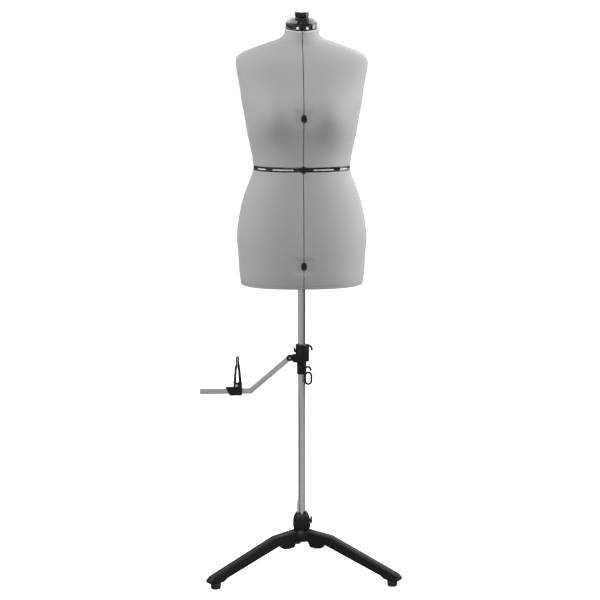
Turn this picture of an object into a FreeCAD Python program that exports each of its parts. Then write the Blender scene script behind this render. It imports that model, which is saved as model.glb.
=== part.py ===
import FreeCAD, Part
import math
import os

from FreeCAD import Vector

# A key-adjusted dress form: eight shell panels on a sliding inner frame, a neck unit, a chrome
# pole on a three-leg base, and a hem marker clamped on the pole. Millimetres, +Z up, -Y front.

# ---------------------------------------------------------------- driving sizes
WALL = 5.0                 # panel shell with its foam and cover
PANEL_GAP = 1.5            # between neighbouring panels with the form closed
EDGE_CLEAR = 0.4           # panel or collar edge above the part below it
HEM_Z = 797.0
WAIST_Z = 1106.0
HIP_DIAL_Z = 858.0
BUST_DIAL_Z = 1240.0
NECK_Z = 1470.0            # centre of the neck ring
NECK_TILT = 12.0           # degrees, front low
TILT_FROM_Z = 1255.0       # the rings start to tilt here
TILT_FULL_Z = NECK_Z - 18  # and have the neck's full tilt here

# rings of the body: height, half width, front depth, back depth, squareness
LOWER_RINGS = (
    (HEM_Z, 161, 116, 112, 2.30),
    (830, 165, 118, 117, 2.30),
    (880, 168, 118, 121, 2.30),
    (920, 171, 116, 121, 2.30),
    (976, 165, 110, 114, 2.25),
    (1008, 158.5, 106, 108, 2.20),
    (1040, 149, 102, 102, 2.20),
    (1072, 137, 98, 96, 2.15),
    (1092, 129.5, 96, 93, 2.15),
    (WAIST_Z, 127.5, 95, 92, 2.15),
)
UPPER_RINGS = (
    (WAIST_Z, 127.5, 95, 92, 2.15),
    (1120, 128, 95, 93, 2.15),
    (1167, 136.5, 98, 98, 2.20),
    (1200, 143.5, 102, 102, 2.25),
    (1245, 150.5, 104, 108, 2.30),
    (1277, 157, 103, 112, 2.35),
    (1308, 161, 98, 114, 2.40),
    (1339, 166, 91, 113, 2.45),
    (1368, 171, 82, 108, 2.50),
    (1385, 172, 75, 98, 2.45),
    (1394, 168, 71, 90, 2.40),
    (1402, 157, 67, 82, 2.35),
    (1411, 136, 62, 73, 2.25),
    (1420, 112, 57, 64, 2.15),
    (1429, 87, 52, 56, 2.10),
    (1438, 62, 47, 49, 2.05),
    (TILT_FULL_Z, 46, 44.5, 45, 2.00),
    (NECK_Z, 43, 43, 43, 2.00),
)
BUST_X = 76.0
BUST_Z = 1243.0
BUST_RISE = 27.0
BUST_WIDTH = 46.0          # spread of one mound across
BUST_HEIGHT_UP = 46.0      # spread above the fullest point
BUST_HEIGHT_DOWN = 40.0    # spread below it
GRID_STEPS = 14            # points round each quarter ring

BELT_HEIGHT = 12.0
BELT_INSET = 1.5           # the belt lies this far under the cover
BELT_SLOT = 3.4
BELT_SLOTS = ((24.0, 82.0), (98.0, 120.0))

POLE_R = 9.5
POLE_BOTTOM_Z = 98.0
POLE_TOP_Z = 1190.0
RUN_CLEAR = 0.05           # radial clearance of a running fit
SLIDE_CLEAR = 0.2          # each side of a sliding bar
TUBE_WALL = 3.0
CORE_BOTTOM_Z = 812.0
CORE_TOP_Z = 1250.0
UPPER_TUBE_BOTTOM_Z = 1150.0
UPPER_TUBE_TOP_Z = NECK_Z - 16
LOCK_HEIGHT = 22.0
LOCK_R = 18.0
LOCK_STEM_R = 4.0
LOCK_STEM_REACH = 12.0
LOCK_HEAD_R = 9.0
LOCK_HEAD_THICK = 8.0

SPIDER_HUB_WALL = 9.0
SPIDER_HEIGHT = 16.0
BAR_WIDTH = 12.0
BAR_HEIGHT = 8.0
BAR_START = 29.0
GUIDE_WALL = 3.0

HOUSING_WIDTH = 44.0
HOUSING_HEIGHT = 34.0
HOUSING_DEPTH = 13.0
HOUSING_CLEAR = 6.0        # between housing and the panel's inner face
SPIDER_GAP = 0.75          # between a guide's end and the nearest spine
SPIDER_REACH = LOWER_RINGS[-1][3] + PANEL_GAP / 2 - WALL - HOUSING_CLEAR - HOUSING_DEPTH - SPIDER_GAP
CHANNEL_DEPTH = 5.0
CHANNEL_HEIGHT = 25.0
CHANNEL_FACE = 3.5         # housing material in front of the channel
SPINE_WIDTH = 12.0
SPINE_DEPTH = 4.0
BOSS_WIDTH = 14.0
BOSS_HEIGHT = 20.0
BOSS_INSET = 1.2           # boss face under the cover
NOTCH_CLEAR = 1.2
DIAL_R = 5.4
DIAL_THICK = 2.4
DIAL_SUNK = 0.2            # dial face under its boss's face
POCKET_CLEAR = 0.5         # round a pinion that has no rack
RACK_ROOM = 30.0           # half height of the band a rack's foot is trimmed in
SHAFT_R = 3.0
PINION_R = 7.0
PINION_THICK = 4.0
KEY_SLOT = 1.6
KEY_DEPTH = 1.4
RACK_HEIGHT = 4.0
RACK_THICK = 3.6
RACK_MESH = 0.3            # rack face off the pinion's pitch circle
RACK_TAIL = 26.0           # rack past the pinion, more than the opening travel
FOOT_START = 25.0
FOOT_LENGTH = 12.0

COLLAR_R = 42.5
COLLAR_WALL = 3.5
COLLAR_HEIGHT = 15.0
COLLAR_SPLIT = 1.0         # half the gap between the collar's halves
NECK_TRAVEL = 6.0          # how far each half of the collar opens
DEPTH_TRAVEL = 15.0        # how far a front or back panel slides out
STUD_R = 3.75
STUD_RISE = 2.0
STUD_ANGLE = 17.0
CAP_DRUM_R = 30.0
SPIGOT_DEPTH = 24.0
CAP_R = 41.0
CAP_TOP_R = 25.0
CAP_RISE = 14.0
NECK_KNOB_R = 18.4
NECK_KNOB_HEIGHT = 13.4
NECK_SHAFT_R = 4.0
NECK_LUG_START = 14.0
NECK_LUG_WIDTH = 12.0
NECK_LUG_HEIGHT = 4.0

HUB_R = 26.0
HUB_BOTTOM_Z = 91.0
HUB_TOP_Z = 123.0
LEG_WIDTH = 24.0
LEG_ROOT = 17.0
LEG_DEPTH = 29.0
LEG_EDGE = 2.5             # rounding along a leg's upper edges
TOE_TOP_Z = 36.0
TOE_FALL = 13.0            # the toe starts to round off this far in
LEG_KNEE = (90.0, 114.0)
LEG_END_R = 298.0
FOOT_RING_R = 271.0
FOOT_R = 14.5
FOOT_HEIGHT = 16.0
LUG_BOTTOM_Z = 74.0
LUG_END = 64.0
SCREW_R = 2.5
SCREW_HEAD_R = 5.0
SCREW_RING_R = 42.0
LEG_ANGLES = {"leg_left": 210.0, "leg_right": 330.0, "leg_rear": 90.0}

SOCKET_TOP_Z = 169.5
# half width of the clamp block and how far that level is under its top
SOCKET_LEVELS = ((11.8, 0.0), (20.3, 16.5), (23.7, 26.5), (23.7, 38.0), (19.8, 43.0))
SOCKET_HALF = max(level[0] for level in SOCKET_LEVELS)
SOCKET_BEVEL = 8.0
SOCKET_SCOOP_R = 10.2
SLEEVE_HEIGHT = 30.0
SLEEVE_WALL = 4.0
KNOB_Z = 146.0
KNOB_R = 11.0
KNOB_REACH = 28.5
KNOB_SHAFT_R = 4.0

BAND_BOTTOM_Z = 551.0
BAND_TOP_Z = 585.0
BAND_R = 12.8
BRACKET_TOP_Z = 631.0
BRACKET_R = 16.5
BRACKET_RIB = (19.6, 8.0)  # reach and half width of the rib on its right
PIVOT_X = -33.0
PIVOT_Z = 598.0
PIN_R = 2.5
PIN_PROUD = 1.0
FIN_HALF = 3.0
ARM_KNEE_X = -138.0
ARM_END_X = -273.0
ARM_Z = 508.2
ARM_WIDTH = 15.0
ARM_THICK = 3.0
ARM_FACE_Y = -12.4         # the arm's rear face
LUG_THICK = 5.0
HOOK_R = 12.0
HOOK_WIRE_R = 2.8
SLIDER_X = (-204.2, -160.4)
SLIDER_RAKE = 11.0         # the block's lower left corner is this far in
SLIDER_Z = (496.8, 519.2)
SLIDER_Y = (-20.0, -8.0)
JAW_PIVOT = (-174.8, 524.0)
JAW_EYE_R = 4.6
JAW_PIN_R = 2.0
JAW_TOP_Z = 602.5
JAW_FOOT_Z = 530.4         # the cheeks end here and the blades begin
JAW_SPLIT_X = -172.6
JAW_HALF_GAP = 0.3
CHEEK = 2.4
RING_X = 6.0
RING_Z = 566.0
RING_SHAFT_R = 3.0
RING_R = 8.2
RING_HALF = 7.6            # half length of the ring's straight sides
RING_CENTRE = (16.7, 543.0)
RING_WIRE_R = 2.7
RING_Y = -23.4
WING_R = 8.0

UP = Vector(0, 0, 1)
TILT_SLOPE = math.tan(math.radians(NECK_TILT))


# ---------------------------------------------------------------- plain solids
def box(x, y, z):
    """A box between two values on each axis, given in either order."""
    low = Vector(min(x), min(y), min(z))
    return Part.makeBox(max(x) - min(x), max(y) - min(y), max(z) - min(z), low)


def rod(radius, start, end):
    """A cylinder from one point to another."""
    way = end - start
    return Part.makeCylinder(radius, way.Length, start, way)


def tube(inner, outer, low, high):
    """An upright tube on the pole's axis."""
    wall = rod(outer, Vector(0, 0, low), Vector(0, 0, high))
    return wall.cut(rod(inner, Vector(0, 0, low - 1), Vector(0, 0, high + 1)))


def prism(points, y_low, y_high):
    """A closed X-Z outline, extruded along Y."""
    wire = Part.makePolygon([Vector(x, y_low, z) for x, z in points + points[:1]])
    return Part.Face(wire).extrude(Vector(0, y_high - y_low, 0))


def turned(shape, degrees):
    """A copy of a shape turned about the pole's axis."""
    copy = shape.copy()
    copy.rotate(Vector(0, 0, 0), UP, degrees)
    return copy


def necked(shape):
    """Moves a shape from the neck's own upright frame to its tilted place."""
    shape.rotate(Vector(0, 0, 0), Vector(1, 0, 0), NECK_TILT)
    shape.translate(Vector(0, 0, NECK_Z))
    return shape


# ---------------------------------------------------------------- the body's surface
def ring_at(rings, z):
    """Half width, depths and squareness at a height, by a monotone cubic through the rings."""
    heights = [ring[0] for ring in rings]
    last = len(rings) - 2
    i = max(k for k in range(last + 1) if heights[k] <= z or k == 0)
    span = heights[i + 1] - heights[i]
    t = (z - heights[i]) / span
    found = []
    for column in range(1, 5):
        values = [ring[column] for ring in rings]
        rises = [(b - a) / (hb - ha) for a, b, ha, hb in zip(values, values[1:], heights, heights[1:])]
        slopes = []
        for k in (i, i + 1):
            if k == 0 or k == last + 1 or rises[k - 1] * rises[min(k, last)] <= 0:
                slopes.append(0.0 if 0 < k <= last else rises[min(k, last)])
            else:
                slopes.append(2 * rises[k - 1] * rises[k] / (rises[k - 1] + rises[k]))
        a, b = values[i], values[i + 1]
        found.append(
            (2 * t**3 - 3 * t**2 + 1) * a + (t**3 - 2 * t**2 + t) * span * slopes[0]
            + (3 * t**2 - 2 * t**3) * b + (t**3 - t**2) * span * slopes[1]
        )
    return found


def mound(x, z):
    """How far the bust stands out in front of the plain rings."""
    spread = BUST_HEIGHT_UP if z > BUST_Z else BUST_HEIGHT_DOWN
    high = math.exp(-((z - BUST_Z) / spread) ** 2 / 2)
    across = sum(math.exp(-((x - side * BUST_X) / BUST_WIDTH) ** 2 / 2) for side in (-1, 1))
    return BUST_RISE * high * across


def ring_slope(z):
    """How steeply the ring at a height leans, front low: none at the bust, the neck's at the top."""
    ramp = min(1.0, max(0.0, (z - TILT_FROM_Z) / (TILT_FULL_Z - TILT_FROM_Z)))
    return TILT_SLOPE * ramp * ramp * (3 - 2 * ramp)


def skin(rings, z, turn, side_y):
    """A point of the outer surface: turn runs from 0 at the centre line to 1 at the side."""
    half, front, back, square = ring_at(rings, z)
    angle = turn * math.pi / 2
    x = half * math.sin(angle) ** (2 / square) if turn else 0.0
    drop = math.cos(angle) ** (2 / square) if turn < 1 else 0.0
    y = side_y * drop * (front if side_y < 0 else back)
    if side_y < 0:
        y -= mound(x, z) * min(1.0, 2.5 * drop)
    return Vector(x, y, z + ring_slope(z) * y)


def inset_skin(rings, z, turn, side_y, inset, is_end):
    """The same point moved inwards, square to the surface; the panel's edges keep their planes."""
    point = skin(rings, z, turn, side_y)
    low, high = rings[0][0], rings[-1][0]
    up = skin(rings, min(z + 0.5, high), turn, side_y) - skin(rings, max(z - 0.5, low), turn, side_y)
    step = 0.004
    before, after = max(turn - step, 0.0), min(turn + step, 1.0)
    round_way = skin(rings, z, after, side_y) - skin(rings, z, before, side_y)
    normal = round_way.cross(up)
    if normal.dot(Vector(point.x, point.y, 0)) < 0:
        normal = normal * -1
    if turn == 0:
        normal.x = 0
    if turn == 1:
        normal.y = 0
    normal.normalize()
    if is_end:
        normal.z = ring_slope(z) * normal.y
    return point - normal * inset


def quarter(rings, heights, side_x, side_y, outer, inner):
    """A closed shell piece over one quarter of the body, between two insets from the surface."""
    surfaces = []
    for inset in (outer, inner):
        grid = []
        for z in heights:
            is_end = z in (heights[0], heights[-1])
            row = [inset_skin(rings, z, k / GRID_STEPS, side_y, inset, is_end) for k in range(GRID_STEPS + 1)]
            grid.append([Vector(p.x * side_x, p.y, p.z) for p in row])
        surface = Part.BSplineSurface()
        surface.interpolate(grid)
        surfaces.append(surface)
    faces = [surface.toShape() for surface in surfaces]
    u0, u1, v0, v1 = surfaces[0].bounds()
    a0, a1, b0, b1 = surfaces[1].bounds()
    for this, that in ((u0, a0), (u1, a1)):
        edges = [surface.uIso(at).toShape() for surface, at in zip(surfaces, (this, that))]
        faces.append(Part.makeRuledSurface(*edges))
    for this, that in ((v0, b0), (v1, b1)):
        edges = [surface.vIso(at).toShape() for surface, at in zip(surfaces, (this, that))]
        faces.append(Part.makeRuledSurface(*edges))
    shell = Part.makeShell(faces)
    shell.sewShape()
    solid = Part.Solid(Part.Shell(shell.Faces))
    if solid.Volume < 0:
        solid.reverse()
    solid.translate(Vector(side_x * PANEL_GAP / 2, side_y * PANEL_GAP / 2, 0))
    return solid


def ring_heights(rings, low, high, between):
    """Heights for a grid: the rings' own, with more in between, from low to high."""
    inside = [ring[0] for ring in rings if low + 4 < ring[0] < high - 4]
    stops = [low] + inside + [high]
    fine = []
    for a, b in zip(stops, stops[1:]):
        fine += [a + (b - a) * k / between for k in range(between)]
    return fine + [high]


def reach_at(rings, z, direction):
    """Distance from the axis to the outer surface at a centre line or a side."""
    if direction in ("left", "right"):
        return skin(rings, z, 1.0, -1).x + PANEL_GAP / 2
    side_y = -1 if direction == "front" else 1
    return abs(skin(rings, z, 0.0, side_y).y) + PANEL_GAP / 2


DIRECTIONS = {"right": 0.0, "back": 90.0, "left": 180.0, "front": 270.0}


# ---------------------------------------------------------------- adjusters, dials and racks
def housing_top(z):
    """Top of a dial housing; the one at the waist stays under the belt's upper edge."""
    return WAIST_Z + BELT_HEIGHT / 2 if z == WAIST_Z else z + HOUSING_HEIGHT / 2


def housing(reach, z):
    """A dial housing facing +X: box, oval boss up to the cover, room for the pinion, bores."""
    face = reach - WALL - HOUSING_CLEAR
    half_w, top = HOUSING_WIDTH / 2, housing_top(z)
    body = box((face - HOUSING_DEPTH, face), (-half_w, half_w), (top - HOUSING_HEIGHT, top))
    end = reach - BOSS_INSET
    round_r = BOSS_WIDTH / 2
    rise = BOSS_HEIGHT / 2 - round_r
    boss = box((face, end), (-round_r, round_r), (z - rise, z + rise))
    for side in (-1, 1):
        centre = z + side * rise
        boss = boss.fuse(rod(round_r, Vector(face, 0, centre), Vector(end, 0, centre)))
    body = body.fuse(boss).removeSplitter()
    channel_x = (face - CHANNEL_FACE - CHANNEL_DEPTH, face - CHANNEL_FACE)
    if z == WAIST_Z:
        room = rod(PINION_R + POCKET_CLEAR, Vector(channel_x[0], 0, z), Vector(channel_x[1], 0, z))
    else:
        half_c = CHANNEL_HEIGHT / 2
        room = box(channel_x, (-half_w - 1, half_w + 1), (z - half_c, z + half_c))
    floor = end - DIAL_SUNK - DIAL_THICK - SLIDE_CLEAR
    sunk = rod(DIAL_R + SLIDE_CLEAR, Vector(floor, 0, z), Vector(end + 1, 0, z))
    start = Vector(face - HOUSING_DEPTH + 1.5, 0, z)
    return body.cut([room, sunk, rod(SHAFT_R + RUN_CLEAR, start, Vector(end + 1, 0, z))])


def adjuster(direction, spider_z, reaches):
    """One sliding unit: its guide bar, its dial housings and the spine between them."""
    heights = sorted(reaches)
    faces = {z: reaches[z] - WALL - HOUSING_CLEAR for z in heights}
    back = faces[spider_z] - HOUSING_DEPTH
    half = BAR_WIDTH / 2
    unit = box((BAR_START, back), (-half, half), (spider_z - BAR_HEIGHT / 2, spider_z + BAR_HEIGHT / 2))
    for z in heights:
        unit = unit.fuse(housing(reaches[z], z))
    if len(heights) > 1:
        spine_x = min(faces.values()) - HOUSING_DEPTH
        half_s = SPINE_WIDTH / 2
        low = heights[0]
        top = housing_top(heights[-1]) - HOUSING_HEIGHT + 1
        unit = unit.fuse(box((spine_x, spine_x + SPINE_DEPTH), (-half_s, half_s), (low, top)))
    return turned(unit.removeSplitter(), DIRECTIONS[direction])


def dial(direction, reach, z):
    """A key dial: slotted cap, shaft and the pinion between the racks."""
    face = reach - WALL - HOUSING_CLEAR
    cap_low = reach - BOSS_INSET - DIAL_SUNK - DIAL_THICK
    middle = face - CHANNEL_FACE - CHANNEL_DEPTH / 2
    cap = rod(DIAL_R, Vector(cap_low, 0, z), Vector(cap_low + DIAL_THICK, 0, z))
    shaft = rod(SHAFT_R, Vector(face - HOUSING_DEPTH + 2, 0, z), Vector(cap_low + 0.5, 0, z))
    half = PINION_THICK / 2
    pinion = rod(PINION_R, Vector(middle - half, 0, z), Vector(middle + half, 0, z))
    shape = cap.fuse([shaft, pinion]).removeSplitter()
    top = cap_low + DIAL_THICK
    slot_half = DIAL_R * 0.7
    slot = box((top - KEY_DEPTH, top + 1), (-slot_half, slot_half), (z - KEY_SLOT / 2, z + KEY_SLOT / 2))
    return turned(shape.cut(slot), DIRECTIONS[direction])


def rack(direction, reach, z, side, above):
    """A rack for one housing and the foot that will join it to its panel, before trimming."""
    middle = reach - WALL - HOUSING_CLEAR - CHANNEL_FACE - CHANNEL_DEPTH / 2
    x = (middle - RACK_THICK / 2, middle + RACK_THICK / 2)
    near = PINION_R + RACK_MESH
    levels = (z + near, z + near + RACK_HEIGHT) if above else (z - near - RACK_HEIGHT, z - near)
    foot_end = FOOT_START + FOOT_LENGTH
    bar = box(x, (-side * RACK_TAIL, side * foot_end), levels)
    foot = box((x[0], reach + 60), (side * FOOT_START, side * foot_end), levels)
    return turned(bar.fuse(foot).removeSplitter(), DIRECTIONS[direction])


def notched(shape, rings, direction, z):
    """Cuts the opening for a dial's boss out of a panel or belt."""
    reach = reach_at(rings, z, direction)
    half_w = BOSS_WIDTH / 2 + NOTCH_CLEAR
    half_h = BOSS_HEIGHT / 2 + NOTCH_CLEAR
    tool = box((reach - 3 * WALL, reach + 3 * WALL), (-half_w, half_w), (z - half_h, z + half_h))
    return shape.cut(turned(tool, DIRECTIONS[direction]))


# ---------------------------------------------------------------- panels and belt
def panel(rings, side_x, side_y, low, high, dial_heights, rack_z):
    """One quarter panel with its dial notches and its two racks."""
    heights = ring_heights(rings, low, high, 2)
    shape = quarter(rings, heights, side_x, side_y, 0.0, WALL)
    across = "right" if side_x > 0 else "left"
    along = "front" if side_y < 0 else "back"
    for z in dial_heights:
        for direction in (across, along):
            shape = notched(shape, rings, direction, z)
    near = ring_heights(rings, max(rack_z - RACK_ROOM, low), min(rack_z + RACK_ROOM, high), 2)
    outside = quarter(rings, near, side_x, side_y, -80.0, WALL * 0.6)
    for direction in (across, along):
        reach = reach_at(rings, rack_z, direction)
        side = side_y if across == "right" else -side_y
        if direction == along:
            side = side_x if along == "front" else -side_x
        above = side_y < 0 if direction == across else side_x < 0
        shape = shape.fuse(rack(direction, reach, rack_z, side, above).cut(outside))
    return shape


def belt(side_x, side_y):
    """One quarter of the slotted waist belt, on top of its lower panel."""
    rings = LOWER_RINGS[:-1] + tuple((z,) + LOWER_RINGS[-1][1:] for z in (WAIST_Z, WAIST_Z + BELT_HEIGHT))
    low = WAIST_Z - BELT_HEIGHT / 2
    high = WAIST_Z + BELT_HEIGHT / 2
    shape = quarter(rings, [low, WAIST_Z, high], side_x, side_y, BELT_INSET, BELT_INSET + WALL)
    for start, end in BELT_SLOTS:
        x = (side_x * start, side_x * end)
        y = (0.0, side_y * 140.0)
        shape = shape.cut(box(x, y, (WAIST_Z - BELT_SLOT / 2, WAIST_Z + BELT_SLOT / 2)))
    across = "right" if side_x > 0 else "left"
    along = "front" if side_y < 0 else "back"
    for direction in (across, along):
        shape = notched(shape, rings, direction, WAIST_Z)
    return shape


# ---------------------------------------------------------------- inner frame
def spider(tube_r, z):
    """A hub on the inner tube with four guides for the sliding bars."""
    half = SPIDER_HEIGHT / 2
    shape = rod(tube_r + SPIDER_HUB_WALL, Vector(0, 0, z - half), Vector(0, 0, z + half))
    guide_w = BAR_WIDTH / 2 + SLIDE_CLEAR + GUIDE_WALL
    guide_h = BAR_HEIGHT / 2 + SLIDE_CLEAR + GUIDE_WALL
    hole_w = BAR_WIDTH / 2 + SLIDE_CLEAR
    hole_h = BAR_HEIGHT / 2 + SLIDE_CLEAR
    for degrees in DIRECTIONS.values():
        guide = box((tube_r + 2, SPIDER_REACH), (-guide_w, guide_w), (z - guide_h, z + guide_h))
        shape = shape.fuse(turned(guide, degrees))
    for degrees in DIRECTIONS.values():
        hole = box((BAR_START - 1, SPIDER_REACH + 1), (-hole_w, hole_w), (z - hole_h, z + hole_h))
        shape = shape.cut(turned(hole, degrees))
    return shape.removeSplitter()


def lower_frame():
    """The core tube on the pole with the hip spider."""
    outer = POLE_R + RUN_CLEAR + TUBE_WALL
    shape = rod(outer, Vector(0, 0, CORE_BOTTOM_Z), Vector(0, 0, CORE_TOP_Z))
    shape = shape.fuse(spider(outer, HIP_DIAL_Z))
    bore = rod(POLE_R + RUN_CLEAR, Vector(0, 0, CORE_BOTTOM_Z - 1), Vector(0, 0, CORE_TOP_Z + 1))
    return shape.cut(bore).removeSplitter()


def upper_frame():
    """The upper tube that telescopes on the core tube, with the bust spider."""
    inner = POLE_R + TUBE_WALL + 2 * RUN_CLEAR
    outer = inner + TUBE_WALL
    shape = rod(outer, Vector(0, 0, UPPER_TUBE_BOTTOM_Z), Vector(0, 0, UPPER_TUBE_TOP_Z))
    shape = shape.fuse(spider(outer, BUST_DIAL_Z))
    bore = rod(inner, Vector(0, 0, UPPER_TUBE_BOTTOM_Z - 1), Vector(0, 0, UPPER_TUBE_TOP_Z + 1))
    return shape.cut(bore).removeSplitter()


def height_lock():
    """The clamp ring on the pole that carries the form, with its thumb screw."""
    low = CORE_BOTTOM_Z - EDGE_CLEAR - LOCK_HEIGHT
    high = CORE_BOTTOM_Z - EDGE_CLEAR
    middle = (low + high) / 2
    shape = rod(LOCK_R, Vector(0, 0, low), Vector(0, 0, high))
    reach = LOCK_R + LOCK_STEM_REACH
    shape = shape.fuse(rod(LOCK_STEM_R, Vector(0, LOCK_R - LOCK_STEM_R, middle), Vector(0, reach, middle)))
    head_start = Vector(0, reach - LOCK_HEAD_THICK / 2, middle)
    shape = shape.fuse(rod(LOCK_HEAD_R, head_start, head_start + Vector(0, LOCK_HEAD_THICK, 0)))
    return shape.cut(rod(POLE_R + RUN_CLEAR, Vector(0, 0, low - 1), Vector(0, 0, high + 1)))


# ---------------------------------------------------------------- neck
def neck_cap():
    """The domed neck cover, its drum with the lug channel, and the spigot in the upper tube."""
    base = EDGE_CLEAR + COLLAR_HEIGHT + EDGE_CLEAR
    top = base + CAP_RISE
    bulge = Vector((CAP_R + CAP_TOP_R) / 2 + 4.0, 0, base + CAP_RISE * 0.68)
    edges = [
        Part.makeLine(Vector(0, 0, -6), Vector(CAP_DRUM_R, 0, -6)),
        Part.makeLine(Vector(CAP_DRUM_R, 0, -6), Vector(CAP_DRUM_R, 0, base)),
        Part.makeLine(Vector(CAP_DRUM_R, 0, base), Vector(CAP_R, 0, base)),
        Part.makeLine(Vector(CAP_R, 0, base), Vector(CAP_R, 0, base + 1.5)),
        Part.Arc(Vector(CAP_R, 0, base + 1.5), bulge, Vector(CAP_TOP_R, 0, top)).toShape(),
        Part.makeLine(Vector(CAP_TOP_R, 0, top), Vector(0, 0, top)),
        Part.makeLine(Vector(0, 0, top), Vector(0, 0, -6)),
    ]
    shape = Part.Face(Part.Wire(edges)).revolve(Vector(0, 0, 0), UP, 360)
    low, high = lug_levels()
    half = NECK_LUG_WIDTH / 2 + SLIDE_CLEAR
    shape = shape.cut(box((-COLLAR_R, COLLAR_R), (-half, half), (low - SLIDE_CLEAR, high + SLIDE_CLEAR)))
    shape = shape.cut(rod(NECK_SHAFT_R + RUN_CLEAR, Vector(0, 0, low), Vector(0, 0, top + 1)))
    shape = necked(shape)
    spigot_r = POLE_R + TUBE_WALL + RUN_CLEAR
    spigot = rod(spigot_r, Vector(0, 0, UPPER_TUBE_TOP_Z - SPIGOT_DEPTH), Vector(0, 0, NECK_Z - 1))
    return shape.fuse(spigot).removeSplitter()


def lug_levels():
    """Heights of the collar's sliding lugs, in the neck's own frame."""
    low = EDGE_CLEAR + 4.0
    return low, low + NECK_LUG_HEIGHT


def neck_collar(side_x):
    """Half of the neck collar, with the lug that slides in the cap's drum."""
    low, high = EDGE_CLEAR, EDGE_CLEAR + COLLAR_HEIGHT
    ring = tube(COLLAR_R - COLLAR_WALL, COLLAR_R, low, high)
    half = ring.common(box((side_x * COLLAR_SPLIT, side_x * 2 * COLLAR_R), (-60, 60), (low - 1, high + 1)))
    lug_half = NECK_LUG_WIDTH / 2
    lug = box((side_x * NECK_LUG_START, side_x * (COLLAR_R - 1.5)), (-lug_half, lug_half), lug_levels())
    return necked(half.fuse(lug).removeSplitter())


def collar_room(side_x):
    """The room a front panel leaves for the collar, which it would rise into as it slides forward."""
    radius = COLLAR_R + EDGE_CLEAR
    far = side_x * NECK_TRAVEL
    inner = Part.Arc(Vector(0, -radius, 0), Vector(-side_x * radius, 0, 0), Vector(0, radius, 0))
    outer = Part.Arc(Vector(far, radius, 0), Vector(far + side_x * radius, 0, 0), Vector(far, -radius, 0))
    edges = [
        inner.toShape(),
        Part.makeLine(Vector(0, radius, 0), Vector(far, radius, 0)),
        outer.toShape(),
        Part.makeLine(Vector(far, -radius, 0), Vector(0, -radius, 0)),
    ]
    disc = necked(Part.Face(Part.Wire(edges)))
    disc.translate(Vector(0, -1, 0))
    return disc.extrude(Vector(0, DEPTH_TRAVEL + 1, 0))


def neck_stud(side_x):
    """The bright stud beside the collar's front split."""
    angle = math.radians(side_x * STUD_ANGLE)
    way = Vector(math.sin(angle), -math.cos(angle), 0)
    foot = way * COLLAR_R + Vector(0, 0, EDGE_CLEAR + COLLAR_HEIGHT * 0.42)
    return necked(rod(STUD_R, foot, foot + way * STUD_RISE))


def neck_dial():
    """The ribbed neck knob and its shaft."""
    low = 2 * EDGE_CLEAR + COLLAR_HEIGHT + CAP_RISE + EDGE_CLEAR
    knob = rod(NECK_KNOB_R, Vector(0, 0, low), Vector(0, 0, low + NECK_KNOB_HEIGHT))
    rim = [edge for edge in knob.Edges if edge.BoundBox.ZMin > low + 1 and len(edge.Vertexes) == 1]
    knob = knob.makeFillet(1.6, rim)
    shaft_low = lug_levels()[1] + SLIDE_CLEAR + 0.3
    shaft = rod(NECK_SHAFT_R, Vector(0, 0, shaft_low), Vector(0, 0, low + 1))
    return necked(knob.fuse(shaft).removeSplitter())


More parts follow.
